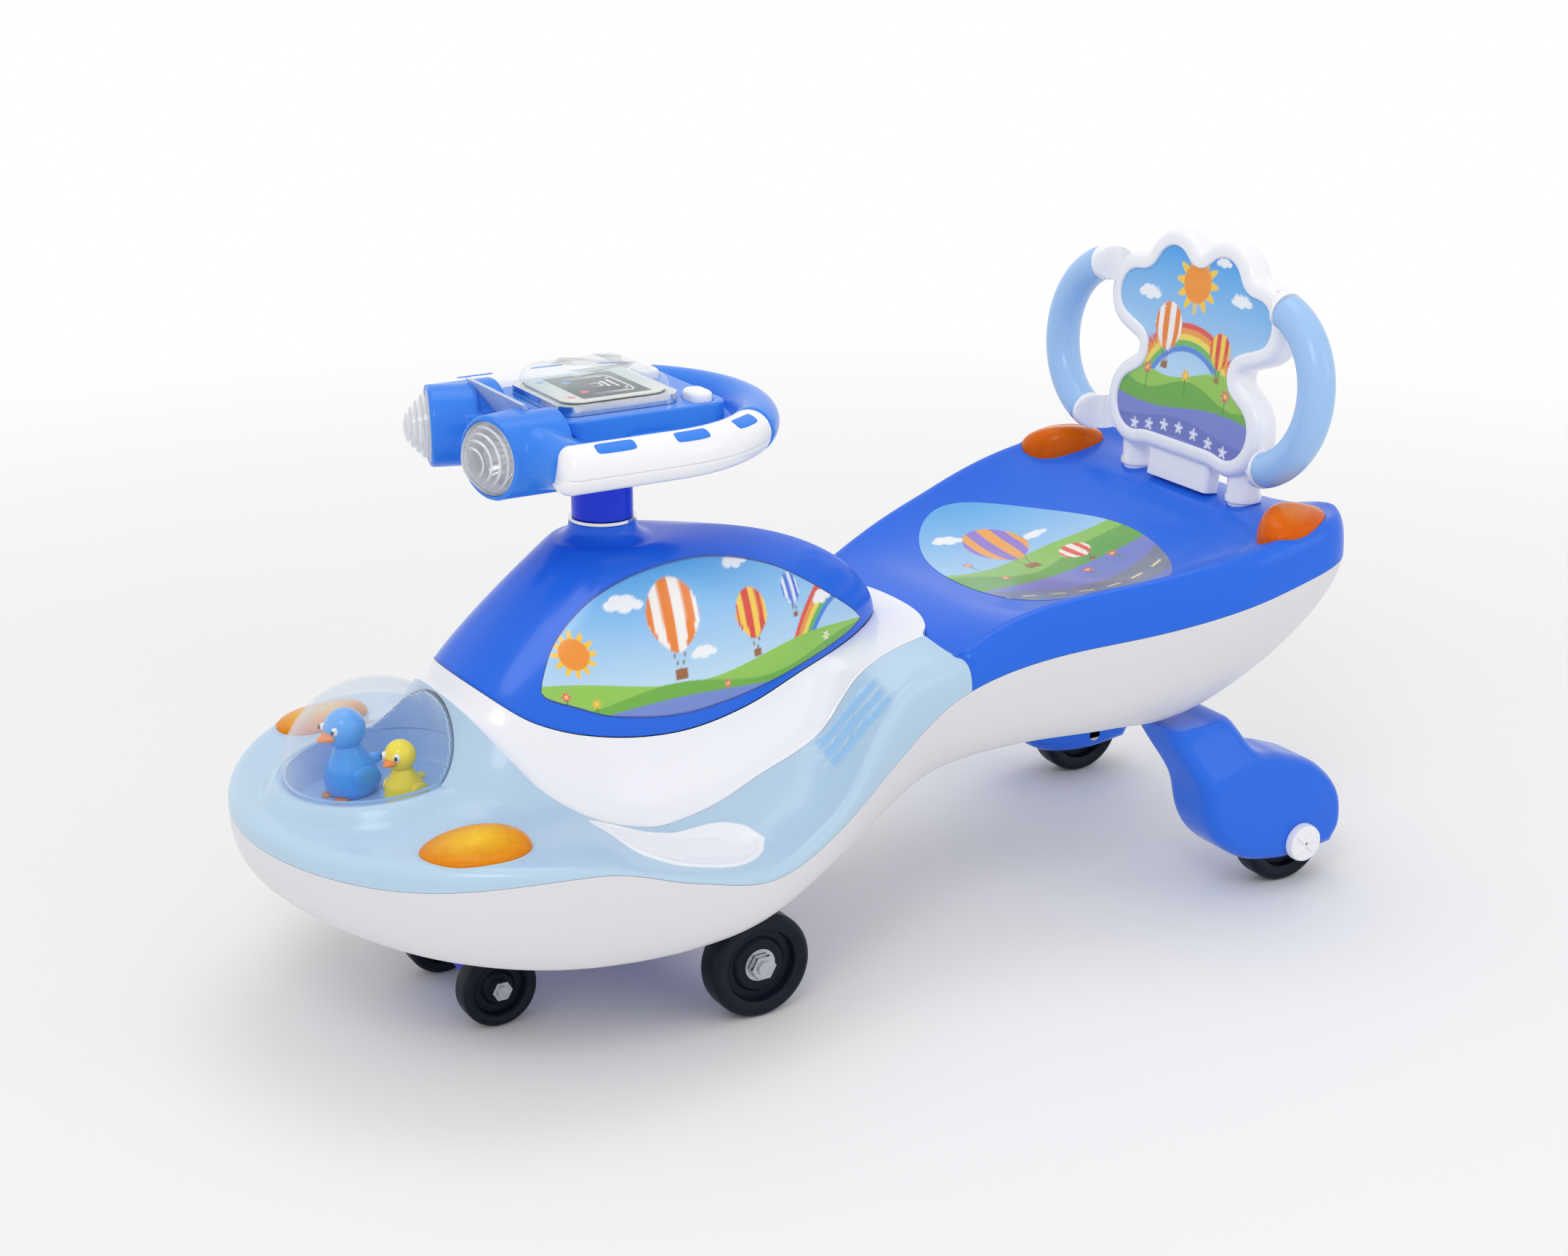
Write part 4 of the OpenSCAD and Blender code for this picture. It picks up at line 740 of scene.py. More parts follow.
def hood_ring(q, d):
    """Ring of the hood: q is 0 at its edge and a right angle at the neck; d is the wall."""
    top = np.column_stack([away * NECK_R + [COLUMN_X, 0], np.full(len(away), NECK_Z)])
    e = mix(1.1, 1.85, ((1 - away[:, 0]) / 2) ** 2)
    h, rise = 1 - max(0.0, math.cos(q)) ** e, math.sin(q) ** e
    p = hood_edge + (top - hood_edge) * np.stack([h, h, rise], 1)
    p = inward(p, d if q == 0 else d * math.cos(q) * 0.8)
    p[:, 2] -= d * rise
    return both(p)


rows = [hood_ring(0, 1.4), hood_ring(0, 0.4) + [0, 0, 0.3], hood_ring(0, 0) + [0, 0, 1.3]]
rows += [hood_ring(q, 0) for q in np.linspace(0.03, math.pi / 2, 40)]
rows += [hood_round(NECK_R - (NECK_R - COLLAR_R) * math.sin(a), NECK_Z + 11 * (1 - math.cos(a)))
         for a in quarter(7)[1:]]
collar = [(COLLAR_R, COLLAR_Z - 0.6), (COLLAR_R - 0.6, COLLAR_Z), (COLLAR_BORE, COLLAR_Z),
          (COLLAR_BORE, SOCKET_Z), (COLLAR_R, SOCKET_Z), (COLLAR_R, SOCKET_Z + 14)]
rows += [hood_round(r, z) for r, z in collar]
rows += [hood_ring(q, WALL) for q in np.linspace(math.pi / 2, 0.05, 10)]
hood = shell("hood_shell", skin(rows, endless=True), BLUE, "blue_plastic", "hood")


# Seat
TAIL_GAP = 0.2


def roll_share(far):
    """Share of the rim's roll reached at a distance from the edge."""
    return np.maximum(0, 1 - unit((CREST - far) / CREST) ** 2.5) ** 0.4


def seat_row(k, d):
    """One section across the seat; k is 0 at the waist, 1 at the tail's crest and 2 at the tail's foot."""
    if k <= 1:
        xk = mix(ARM_END, TAIL_X - CREST, k ** 0.9)
    else:
        xk = TAIL_X - CREST * (1 - math.sin((k - 1) * math.pi / 2) ** 0.8) - TAIL_GAP
    xs = xk - d * unit((xk - TAIL_WIDE) / (TAIL_X - TAIL_WIDE))
    w = float(half_w(xs, d))
    u = quarter(11)
    edge = w - CREST * (1 - np.cos(u) ** 0.8)
    mid = np.linspace(1, 0, 40)[1:] * (w - CREST)
    y = np.concatenate([edge, mid])
    shift = (through(SEAT_FRONT, y) - ARM_END) * (1 - ease(13 * min(k, 1) / 6))
    x = xs + SEAM + shift
    far = np.minimum(w - y, max(0.0, TAIL_X - TAIL_GAP - d - xs))
    z = mix(rim_z(x) + SEAM, seat_z(x, y) - d, roll_share(far))
    half = np.stack([x, -y, z], 1)
    return np.concatenate([half, half[-2::-1] * [1, -1, 1]])


sections = []
for k in np.concatenate([np.linspace(0, 1, 90), np.linspace(1, 2, 12)[1:]]):
    sections.append(np.concatenate([seat_row(k, 0), seat_row(k, WALL)[::-1]]))
seat = shell("seat_shell", skin(sections), BLUE, "blue_plastic", "seat_cover", 60)


HIGH = 500.0


def on_top(tree, x, y):
    """Point of the surface under a place, in millimetres."""
    hit = tree.ray_cast(Vector((x, y, HIGH)) * MM, Vector((0, 0, -1)))[0]
    return np.array(hit) / MM


def draped(tree, outline, centre, levels, s):
    """Closed cushion lying on a surface: levels are (share of the outline, height over the surface)."""
    rings = []
    for share, up in levels:
        flat = centre + (outline - centre) * share
        rings.append(np.array([on_top(tree, x, s * y) + [0, 0, up] for x, y in flat]))
    return closed(rings)


# Lamps
deck_tree, seat_tree = surface_of(deck), surface_of(seat)


def lamp(name, tree, spot, size, turn, pitch, roll, rise, tints, materials, slot, node):
    """Oval lens that leans outwards, with a thin lip on the shell; its tint is paler towards the middle, a
    painted highlight.
    """
    n = 96
    a = turns_of(n)
    local = np.stack([size[0] / 2 * np.cos(a), size[1] / 2 * np.sin(a)], 1)
    fall = local @ np.tan(np.radians([pitch, roll]))
    c, s = math.cos(math.radians(turn)), math.sin(math.radians(turn))
    oval = local @ np.array([[c, s], [-s, c]])
    dome = [(max(0.02, math.cos(v) ** 0.8), math.sin(v)) for v in quarter(20)]
    ground = [np.array([on_top(tree, *(spot[:2] + p * share)) for p in oval]) for share, _ in dome]

    def bowl(ring):
        """Terms of a smooth quadratic face, for the even shape under the lens."""
        px, py = ((ring[:, :2] - spot[:2]) / 20).T
        return np.stack([np.ones(n), px, py, px * px, px * py, py * py], 1)

    factors = np.linalg.lstsq(np.concatenate([bowl(ring) for ring in ground]),
                              np.concatenate(ground)[:, 2], rcond=None)[0]
    rings = [ground[0] - [0, 0, 2.5]]
    for (share, up), ring in zip(dome, ground):
        face = bowl(ring) @ factors
        above = spot[2] - fall * share - face
        lean = (above + np.sqrt(above ** 2 + 9)) / 2
        ring[:, 2] += (face - ring[:, 2]) * min(1, 0.6 + up) + 0.4 + up * (0.75 * rise + lean)
        rings.append(ring)
    # Painted highlight: the tint runs from the lens's own colour at the rim to a paler one in the middle
    middle = np.repeat(unit(1.1 - np.array([1.0] + [share for share, _ in dome])), n)[:, None]
    ink = np.array(linear(tints[0])[:3]) * (1 - middle) + np.array(linear(tints[1])[:3]) * middle
    kit = Kit().add(closed(rings), 0, ink)
    lip = [(1.045, -2.0), (1.045, 0.2), (1.035, 0.7), (1.02, 0.8), (0.995, 0.5), (0.98, -2.0)]
    kit.add(draped(tree, oval + spot[:2], np.array(spot[:2]), lip, 1), 1)
    kit.build(name, materials, "chassis", slot, [node], 50, painted=True)


FRONT_LAMP_X, FRONT_LAMP_IN, FRONT_LAMP_Z = NOSE_X + 100, 36, 163.5
REAR_LAMP_X, REAR_LAMP_IN = TAIL_X - 50, 29
# Each lens's second tint is the paler middle, a painted highlight over its own amber or orange
for s, side in SIDES:
    spot = np.array([FRONT_LAMP_X, s * (float(half_w(FRONT_LAMP_X)) - FRONT_LAMP_IN), FRONT_LAMP_Z])
    lamp("front_lens_" + side, deck_tree, spot, (68, 50), s * 18, -8, s * 12,
         7, ((226, 122, 0), (255, 206, 44)), [AMBER, PALE], "amber_lens", "front_lamp_" + side)
    y = s * (float(half_w(REAR_LAMP_X)) - REAR_LAMP_IN)
    spot = np.array([REAR_LAMP_X - 2, y, float(seat_crest(REAR_LAMP_X))])
    lamp("rear_lens_" + side, seat_tree, spot, (64, 42), -s * 24, 0, s * 20,
         11, ((220, 92, 0), (238, 126, 0)), [ORANGE, BLUE], "orange_lens", "rear_lamp_" + side)

# Foot pads, let into the shoulders
PAD_INNER = [(-205, 110), (-180, 117), (-152, 116), (-117, 112), (-97, 118), (-91, 129)]
PAD_OUTER = [(-205, 112), (-196, 145), (-180, 159), (-160, 163), (-125, 157), (-100, 143), (-91, 131)]
PAD_MID = np.array([-146.0, 137.0])


def foot_pad(s, side):
    """Teardrop pad: raised rim, a bevel line just inside it, then a shallow dish."""
    steps = np.linspace(0, math.pi, 60)
    x = mix(PAD_INNER[0][0], PAD_INNER[-1][0], (1 - np.cos(steps)) / 2)
    inner, outer = (np.stack([x, through(line, x)], 1) for line in (PAD_INNER, PAD_OUTER))
    outline = np.concatenate([inner, outer[::-1][1:-1]])
    levels = [(1.0, -3.0), (1.0, 0.4), (0.99, 1.0), (0.97, 1.5), (0.93, 1.7), (0.89, 1.5), (0.86, 0.9),
              (0.83, 0.6), (0.6, 0.5), (0.3, 0.6), (0.02, 0.6)]
    shape = draped(deck_tree, outline, PAD_MID, levels, s)
    shell("pad_" + side, shape, WHITE, "white_plastic", "foot_pad_" + side, 50)


for s, side in SIDES:
    foot_pad(s, side)

# Display dome, tray and toy birds
DOME_X, DOME_Z, DOME_R, DOME_H, TRAY_DEPTH = NOSE_X + 89, 176.0, 61.0, 56.0, 26.0
DOME_WALL, DOME_TILT = 1.6, -5
on_dome = place(DOME_X, 0, DOME_Z) @ spin(DOME_TILT, "Y")
ball_r = (DOME_R ** 2 + DOME_H ** 2) / (2 * DOME_H)


def dome_profile(gap=0.0):
    """(radius, height) pairs from the dome's top to its foot, at a gap outside its face."""
    r, top = ball_r + gap, DOME_H + gap
    stop = math.acos((r - top) / r)
    return [(r * math.sin(a), top - r + r * math.cos(a)) for a in np.linspace(0, stop, 30)]


def foot_point(r, a, up=0.0):
    """Place in the model of a point given round the dome's axis."""
    return np.array(on_dome @ Vector((r * math.cos(a), r * math.sin(a), up)))


def deck_z(x, y, other):
    """Height of the deck, or another height where it has none."""
    hit = deck_tree.ray_cast(Vector((x, y, HIGH)) * MM, Vector((0, 0, -1)))[0]
    return other if hit is None else hit.z / MM


def dome_swell():
    """Pale ring that runs from the dome's foot down to the deck."""
    rings = []
    for a in turns_of(120):
        top, low = [], []
        for r in np.linspace(63, 76, 12):
            foot = foot_point(r, a)
            ground = deck_z(*foot[:2], foot[2] - 6)
            z = mix(max(foot[2], ground - 2), ground - 0.4, float(ease((r - 64) / 12)))
            top.append([*foot[:2], z])
            low.append([*foot[:2], min(z, ground) - 2.5])
        rings.append(np.array(top + low[::-1]))
    return skin(rings, endless=True)


def dome_back():
    """Wall inside the dome where the deck rises behind it."""
    path = np.array(dome_profile(-2.2)[::-1])
    rings = []
    for a in turns_of(160):
        spots = [foot_point(r, a, z) for r, z in path]
        stop = max((k for k, p in enumerate(spots) if p[2] < deck_z(*p[:2], 300)), default=0)
        t = np.linspace(0, max(stop + 0.6, 0.5), 12)
        r, z = (np.interp(t, range(len(path)), column) for column in path.T)
        outer = [foot_point(near, a, up) for near, up in zip(r, z)]
        inner = [foot_point(near - 1.2, a, up - 0.4) for near, up in zip(r, z)]
        rings.append(np.array(outer + inner[::-1]))
    return skin(rings, endless=True)


swell, back_wall = dome_swell(), dome_back()
well = [(DOME_R + 4.3, -40), (DOME_R + 4.3, 0)] + dome_profile(SEAM)[::-1]
cut(deck, moved(lathe(well, 128), on_dome))
wall = dome_profile() + [(DOME_R + 2.5, 0.4), (DOME_R + 2.5, -0.2)] + dome_profile(-DOME_WALL)[::-1]
shell("dome_shell", moved(lathe(wall, 128), on_dome), CLEAR, "clear_plastic", "display_dome")
tray = [(0, -TRAY_DEPTH), (62, -TRAY_DEPTH), (65, -23), (65, -1.2), (64.4, -0.5), (60, -0.5), (58.6, -1.4),
        (57, -18), (54, -22), (30, -22.8), (0, -23)]
kit = Kit().add(moved(lathe(tray, 128), on_dome), 1).add(swell, 0).add(back_wall, 1)
kit.build("tray_shell", [PALE, PALE_DEEP], "chassis", "pale_blue_plastic", ["display_tray"], 50)


def bird(name, size, x, y, turn, coat, slot, node):
    """Plain toy bird: egg body, round head, beak, wings, tail and feet."""
    r, head_z, head_r = size * 0.3, size * 0.76, size * 0.235
    profile = np.array([(0, 0), (r * 0.8, 0.3), (r * 0.98, size * 0.08), (r * 1.02, size * 0.2),
                        (r * 0.9, size * 0.34), (r * 0.66, size * 0.46), (r * 0.52, size * 0.54),
                        (r * 0.4, size * 0.6), (0, size * 0.62)])
    fine = np.linspace(0, len(profile) - 1, 40)
    soft = np.stack([np.interp(fine, range(len(profile)), column) for column in profile.T], 1)
    kit = Kit().add(lathe(soft, 48)).add(ball((0, 0, head_z), (head_r, head_r * 0.96, head_r)))
    for s in (-1, 1):
        wing = ball((0, 0, 0), (r * 0.62, r * 0.2, r * 0.42))
        kit.add(moved(wing, place(r * 0.12, s * r * 0.92, size * 0.24) @ spin(20, "Y")))
        kit.add(ball((-head_r * 0.8, s * head_r * 0.5, head_z + head_r * 0.22), (2.4, 2.0, 2.8), 20), 2)
        kit.add(ball((-head_r * 0.98, s * head_r * 0.58, head_z + head_r * 0.24), (1.2, 1.1, 1.5), 16), 3)
        kit.add(ball((-r * 0.75, s * r * 0.4, 1.2), (r * 0.36, r * 0.26, 1.2), 20), 1)
    beak = lathe([(0, 0), (head_r * 0.46, 0.2), (head_r * 0.34, head_r * 0.3), (head_r * 0.14, head_r * 0.6),
                  (0, head_r * 0.68)], 24)
    tip = place(-head_r * 0.86, 0, head_z - head_r * 0.14) @ spin(-90, "Y")
    kit.add(moved((beak[0] * [0.6, 1.1, 1], beak[1]), tip), 1)
    kit.add(ball((r, 0, size * 0.3), (r * 0.42, r * 0.3, r * 0.2), 24))
    spot = on_dome @ place(x, y, 3 - TRAY_DEPTH, turn)
    kit.verts = [moved((np.concatenate(kit.verts), []), spot)[0]]
    kit.build(name, [coat, BEAK, WHITE, INK], "chassis", slot, [node], 60)


bird("bird_tall", 58, -11, 20, 10, BIRD_BLUE, "figure_blue", "figure_tall")
bird("bird_small", 44, 9, -20, 25, BIRD_YELLOW, "figure_yellow", "figure_small")

# Backrest: lobed panel with a soft edge, arms and grips
PEG_X, PEG_Y, BACK_FOOT, LEAN = TAIL_X - 34, 61.0, 20.0, 6.0
SEAT_TOP = float(seat_z(PEG_X, PEG_Y))
on_back = place(PEG_X, 0, SEAT_TOP + BACK_FOOT) @ spin(LEAN, "Y")
LOBES = [(130, 28, 33), (109, 67, 31), (31, 53, 34)]
PANEL_X, BACK_T, PANEL_MID, PANEL_HALF = -5.0, 23.0, 72.0, 58.0


def panel_outline():
    """Outline of the lobed panel by its reach from a middle point, as (height, across)."""
    mid = np.array([PANEL_MID, 0.0])
    a = turns_of(360)
    ray = np.stack([np.sin(a), np.cos(a)], 1)
    reach = np.zeros(len(a))
    for v, y, r in LOBES:
        for s in (-1, 1):
            c = np.array([v, s * y]) - mid
            along = ray @ c
            off = (c @ c) - along ** 2
            inside = r * r - off
            reach = np.maximum(reach, np.where(inside > 0, along + np.sqrt(np.maximum(0, inside)), 0))
    with np.errstate(divide="ignore"):
        upright = np.where(ray[:, 0] > 0, PANEL_HALF, PANEL_MID) / np.abs(ray[:, 0])
        reach = np.maximum(reach, np.minimum(PANEL_HALF / np.abs(ray[:, 1]), upright))
    kernel = np.exp(-0.5 * (np.arange(-6, 7) / 2.2) ** 2)
    kernel /= kernel.sum()
    reach = np.convolve(np.concatenate([reach[-6:], reach, reach[:6]]), kernel, "valid")
    return mid + ray * reach[:, None]


panel = panel_outline()
front, back = PANEL_X - BACK_T / 2, PANEL_X + BACK_T / 2
levels = [(9 - 9 * math.sin(v), back - 9 + 9 * math.cos(v)) for v in quarter(7)]
levels += [(6 - 6 * math.cos(v), front + 6 - 6 * math.sin(v)) for v in quarter(7)]
levels += [(9, front - 0.1), (11.4, front), (11.9, front + 0.3), (12.2, front + 1.2), (12.3, front + 2.0)]


def stand_up(shape):
    """From (height, across, depth) to the backrest's own place."""
    v = np.asarray(shape[0])
    return moved((np.stack([v[:, 2], v[:, 1], v[:, 0]], 1), shape[1]), on_back)


kit = Kit().add(stand_up(pillow(panel[::-1], levels)))
GRIP_X, GRIP_Y, GRIP_MID, GRIP_BOW, GRIP_SPAN, GRIP_R = -20.0, 85.0, 70.0, 59.0, math.radians(72), 13.0


def grip_arc(s, a):
    """Middle line of a backrest grip."""
    across, up = GRIP_Y + GRIP_BOW * np.cos(a), GRIP_MID + GRIP_BOW * np.sin(a)
    return np.stack([np.full_like(a, GRIP_X), s * across, up], -1)


def bent(p0, p1, p2, p3, n):
    """Bezier curve of n points."""
    t = np.linspace(0, 1, n)[:, None]
    pulls = ((1 - t) ** 3, 3 * t * (1 - t) ** 2, 3 * t * t * (1 - t), t ** 3)
    return sum(pull * np.array(p) for pull, p in zip(pulls, (p0, p1, p2, p3)))


for s in (-1, 1):
    for z in (-1, 1):
        end, ahead = grip_arc(s, z * np.array([GRIP_SPAN, GRIP_SPAN + 0.2]))
        root = np.array([PANEL_X, s * PANEL_HALF, GRIP_MID + z * 44])
        arm = bent(root, root + [-3, s * 18, z * 6], end + (ahead - end) * 1.3, end, 40)
        verts, faces = tube(arm, np.linspace(11, 13.2, len(arm)), 36)
        limit = mix(-40, front + 3.4, ease((104 - np.abs(verts[:, 1])) / 14))
        verts[:, 0] = np.maximum(verts[:, 0], limit)
        kit.add(moved((verts, faces), on_back))
    peg = [(0, -22), (10.4, -22), (11, -21), (11, 1), (13.2, 1.6), (13.2, 5), (12, 7), (12, 30), (0, 30)]
    kit.add(moved(lathe(peg, 48), place(PEG_X, s * PEG_Y, SEAT_TOP)))
clip = pillow(rounded_outline(-7 + PANEL_X, 7 + PANEL_X, 70, 4), edge_levels(BACK_FOOT + 4, 1.2))
kit.add(moved((clip[0] - [0, 0, BACK_FOOT], clip[1]), on_back))
kit.build("backrest_shell", [WHITE], "chassis", "white_plastic", ["backrest_panel"], 50)
for s, side in SIDES:
    r = GRIP_R - 0.9 * np.maximum(0, np.abs(np.linspace(-1, 1, 60)) - 0.97) / 0.03
    grip = tube(grip_arc(s, np.linspace(-GRIP_SPAN, GRIP_SPAN, 60)), r, 36)
    shell("back_grip_" + side, moved(grip, on_back), PALE_DEEP, "pale_blue_plastic",
          "backrest_grip_" + side, 50)


# Prints: generic pictures of a sky with balloons, painted in layers on thin films
class Picture:
    """Layers of colour over flat coordinates in millimetres; edges are soft by about half a millimetre."""

    SOFT = 0.6

    def __init__(self, x, y):
        self.x, self.y = x, y
        self.ink = np.ones((len(x), 3))

    def lay(self, cover, colour):
        cover = unit(cover)[:, None]
        self.ink = self.ink * (1 - cover) + np.array(linear(colour)[:3]) * cover

    def within(self, gap, colour):
        """Lays colour where gap, a signed distance in millimetres, is positive."""
        self.lay(gap / self.SOFT + 0.5, colour)

    def fade(self, y0, y1, low, high):
        t = unit((self.y - y0) / (y1 - y0))[:, None]
        self.ink = np.array(linear(low)[:3]) * (1 - t) + np.array(linear(high)[:3]) * t

    def polar(self, cx, cy):
        return np.hypot(self.x - cx, self.y - cy), np.arctan2(self.y - cy, self.x - cx)

    def oval(self, cx, cy, rx, ry, colour):
        d = np.hypot((self.x - cx) / rx, (self.y - cy) / ry)
        self.within((1 - d) * min(rx, ry), colour)

    def hill(self, base, rise, length, shift, colour):
        self.within(base + rise * np.sin((self.x - shift) / length) - self.y, colour)

    def cloud(self, cx, cy, size):
        puffs = ((-0.9, 0, 0.42), (-0.35, 0.25, 0.55), (0.3, 0.2, 0.6), (0.95, 0, 0.4), (0, -0.1, 0.5))
        for dx, dy, r in puffs:
            self.oval(cx + dx * size, cy + dy * size, r * size * 1.15, r * size * 0.8, (250, 252, 255))

    def sun(self, cx, cy, r):
        d, a = self.polar(cx, cy)
        self.within(r * (1.25 + 0.3 * np.cos(12 * a)) - d, (255, 208, 60))
        self.oval(cx, cy, r, r, (250, 150, 30))

    def star(self, cx, cy, r, colour):
        d, a = self.polar(cx, cy)
        self.within(r * (0.68 + 0.3 * np.cos(5 * (a - math.pi / 2))) - d, colour)

    def flower(self, cx, cy, r, colour):
        stem = np.minimum(0.5 - np.abs(self.x - cx), np.minimum(cy - self.y, self.y - cy + 3.2 * r))
        self.within(stem, (70, 150, 50))
        d, a = self.polar(cx, cy)
        self.within(r * (0.75 + 0.25 * np.cos(6 * a)) - d, colour)
        self.oval(cx, cy, r * 0.35, r * 0.35, (255, 220, 70))

    def balloon(self, cx, cy, r, one, two):
        """Hot-air balloon with upright gores and a basket."""
        low = cy - 1.9 * r
        for side in (-0.3, 0.3):
            rope = np.abs(self.x - cx - side * r * (self.y - low) / (cy - low) * 2)
            self.within(np.minimum(0.35 - rope, np.minimum(cy - self.y, self.y - low)), (110, 80, 60))
        basket = np.minimum(r * 0.24 - np.abs(self.x - cx), r * 0.18 - np.abs(self.y - low))
        self.within(basket, (158, 98, 48))
        taper = np.where(self.y < cy, 1 - 0.42 * unit((cy - self.y) / (1.25 * r)) ** 2, 1)
        across = (self.x - cx) / (r * taper)
        shape = (1 - np.hypot(across, (self.y - cy) / (1.2 * r))) * r
        self.within(shape, one)
        gores = np.sin(7 * np.arcsin(np.clip(across, -1, 1)))
        self.within(np.minimum(shape, gores * r * 0.15), two)

    def rainbow(self, cx, cy, r, width):
        d, _ = self.polar(cx, cy)
        bands = ((232, 80, 60), (248, 160, 50), (252, 226, 80), (110, 190, 90), (80, 140, 225))
        for k, colour in enumerate(bands):
            self.within(width / 2 - np.abs(d - r + k * width), colour)


FILM_UP, FILM_IN = 0.35, 0.4
PRINT_ROWS, CARD_ROWS = 90, 60
NAVY, ROSE, GOLD = (30, 50, 140), (236, 90, 120), (250, 190, 60)
ORANGE_GORES = ((244, 132, 36), (255, 250, 244))
RED_GORES = ((226, 66, 52), (255, 214, 80))


def film(name, spots, normals, rows, picture, body, slot, endless):
    """Thin printed film over surface points in rows; endless rows run round."""
    shape = slab(spots + normals * FILM_UP, spots - normals * FILM_IN, rows, len(spots) // rows, endless)
    kit = Kit().add(shape, 0, np.tile(picture.ink, (2, 1)))
    kit.build(name, [PRINT], body, slot, (), 60, painted=True)


def casts(tree, starts, way):
    """Points and normals where rays from many places meet a surface."""
    hits = [tree.ray_cast(Vector(start) * MM, Vector(way)) for start in starts]
    return np.array([hit[0] for hit in hits]) / MM, np.array([hit[1] for hit in hits])


def hood_picture(x, z):
    art = Picture(x, z)
    art.fade(205, 292, (214, 238, 252), (70, 172, 240))
    art.rainbow(30, 196, 62, 3.4)
    art.sun(-186, 246, 9)
    for cx, cy, size in ((-150, 272, 9), (-60, 283, 8), (8, 246, 7), (-100, 236, 7)):
        art.cloud(cx, cy, size)
    art.hill(224, 5, 30, -60, (150, 205, 80))
    art.hill(216, 5, 24, -10, (110, 180, 60))
    art.hill(208, 3.5, 34, 40, (116, 140, 214))
    art.balloon(-118, 262, 19, *ORANGE_GORES)
    art.balloon(-58, 252, 13, *RED_GORES)
    art.balloon(-20, 258, 8, (70, 120, 220), (240, 246, 255))
    for cx, cy, colour in ((-196, 222, ROSE), (-178, 216, GOLD), (-84, 213, ROSE), (6, 222, (250, 250, 250))):
        art.flower(cx, cy, 3.2, colour)
    return art


HOOD_TOP = [(-210, 226), (-207, 234), (-197, 251), (-181, 267), (-164, 279), (-143, 288), (-120, 292),
            (-93, 291.5), (-71, 288), (-49, 282), (-26, 273), (-5, 261), (20, 244), (39, 230), (48, 221)]
HOOD_LOW = [(-210, 225), (-208, 222), (-202, 219), (-191, 215), (-173, 208), (-154, 204), (-134, 201),
            (-113, 200), (-92, 201), (-69, 203), (-44, 206), (-18, 210), (11, 214), (34, 217), (48, 220.5)]
PRINT_BORDER = 0.9
hood_tree = surface_of(hood)
along = mix(HOOD_TOP[0][0], HOOD_TOP[-1][0], (1 - np.cos(np.linspace(0, math.pi, 260))) / 2)
share = np.linspace(0, 1, 110)
x, tall = np.repeat(along, len(share)), np.tile(share, len(along))
low, top = through(HOOD_LOW, x), through(HOOD_TOP, x)
z = mix(low, top, tall)
for s, side in SIDES:
    spots, normals = casts(hood_tree, [(px, s * 300, pz) for px, pz in zip(x, z)], (0, -s, 0))
    art = hood_picture(x, z)
    art.within(PRINT_BORDER - np.minimum(tall, 1 - tall) * (top - low), NAVY)
    film("hood_print_" + side, spots, normals, len(along), art, "chassis", "blue_plastic", False)


def round_grid(outline, centre, rows):
    """Points from near a centre to an outline, ring by ring."""
    share = np.linspace(0.02, 1, rows)[:, None, None]
    return (centre + (outline - centre)[None] * share).reshape(-1, 2)


def seat_picture(x, y):
    """Drawn to be read from the photograph's side, -y: up in the picture is towards the far side."""
    art = Picture(x, y)
    art.fade(-60, 110, (206, 232, 250), (96, 180, 240))
    art.cloud(184, 74, 10)
    art.cloud(246, 52, 8)
    art.hill(22, 9, 26, 200, (142, 200, 82))
    art.hill(2, 8, 20, 230, (104, 172, 66))
    art.hill(-24, 6, 34, 180, (126, 134, 206))
    lane = np.abs(y + 62 + 10 * np.sin(x / 30))
    art.within(17 - lane, (128, 132, 150))
    art.within(np.minimum(1.3 - lane, 6 * np.sin(x / 3.2)), (250, 236, 170))
    art.balloon(214, 54, 24, (150, 120, 214), (250, 170, 60))
    art.balloon(250, 6, 11, (232, 84, 62), (255, 246, 230))
    for cx, cy in ((172, 30), (180, -6), (262, -22), (236, -28)):
        art.flower(cx, cy, 4.5, (240, 96, 120))
    return art


SEAT_MID, SEAT_REACH = np.array([216.0, 0.0]), np.array([74.0, 116.0])
a = turns_of(300)
flat = round_grid(SEAT_MID + SEAT_REACH * np.stack([np.cos(a), np.sin(a)], 1), SEAT_MID, PRINT_ROWS)
spots, normals = casts(seat_tree, [(px, py, HIGH) for px, py in flat], (0, 0, -1))
film("seat_print", spots, normals, PRINT_ROWS, seat_picture(*flat.T), "chassis", "blue_plastic", True)


def back_picture(y, v):
    art = Picture(y, v)
    art.fade(40, 150, (206, 236, 252), (56, 164, 238))
    art.sun(0, 128, 15)
    for cx, cy, size in ((-52, 112, 9), (50, 122, 8), (26, 146, 6)):
        art.cloud(cx, cy, size)
    art.rainbow(0, 34, 62, 4.2)
    art.hill(62, 6, 20, 10, (150, 206, 78))
    art.hill(50, 6, 16, -20, (104, 176, 62))
    art.hill(36, 4, 26, 0, (120, 132, 208))
    art.balloon(-26, 92, 15, *ORANGE_GORES)
    art.balloon(34, 84, 11, *RED_GORES)
    art.within(7 - np.abs(v - 17 - 4 * np.cos(y / 22)), (104, 116, 196))
    for k in range(-3, 4):
        art.star(k * 17, 17 + 4 * math.cos(k * 17 / 22), 5, (236, 240, 252))
    for cx, cy, colour in ((-44, 58, ROSE), (0, 60, GOLD), (46, 54, ROSE)):
        art.flower(cx, cy, 5, colour)
    return art


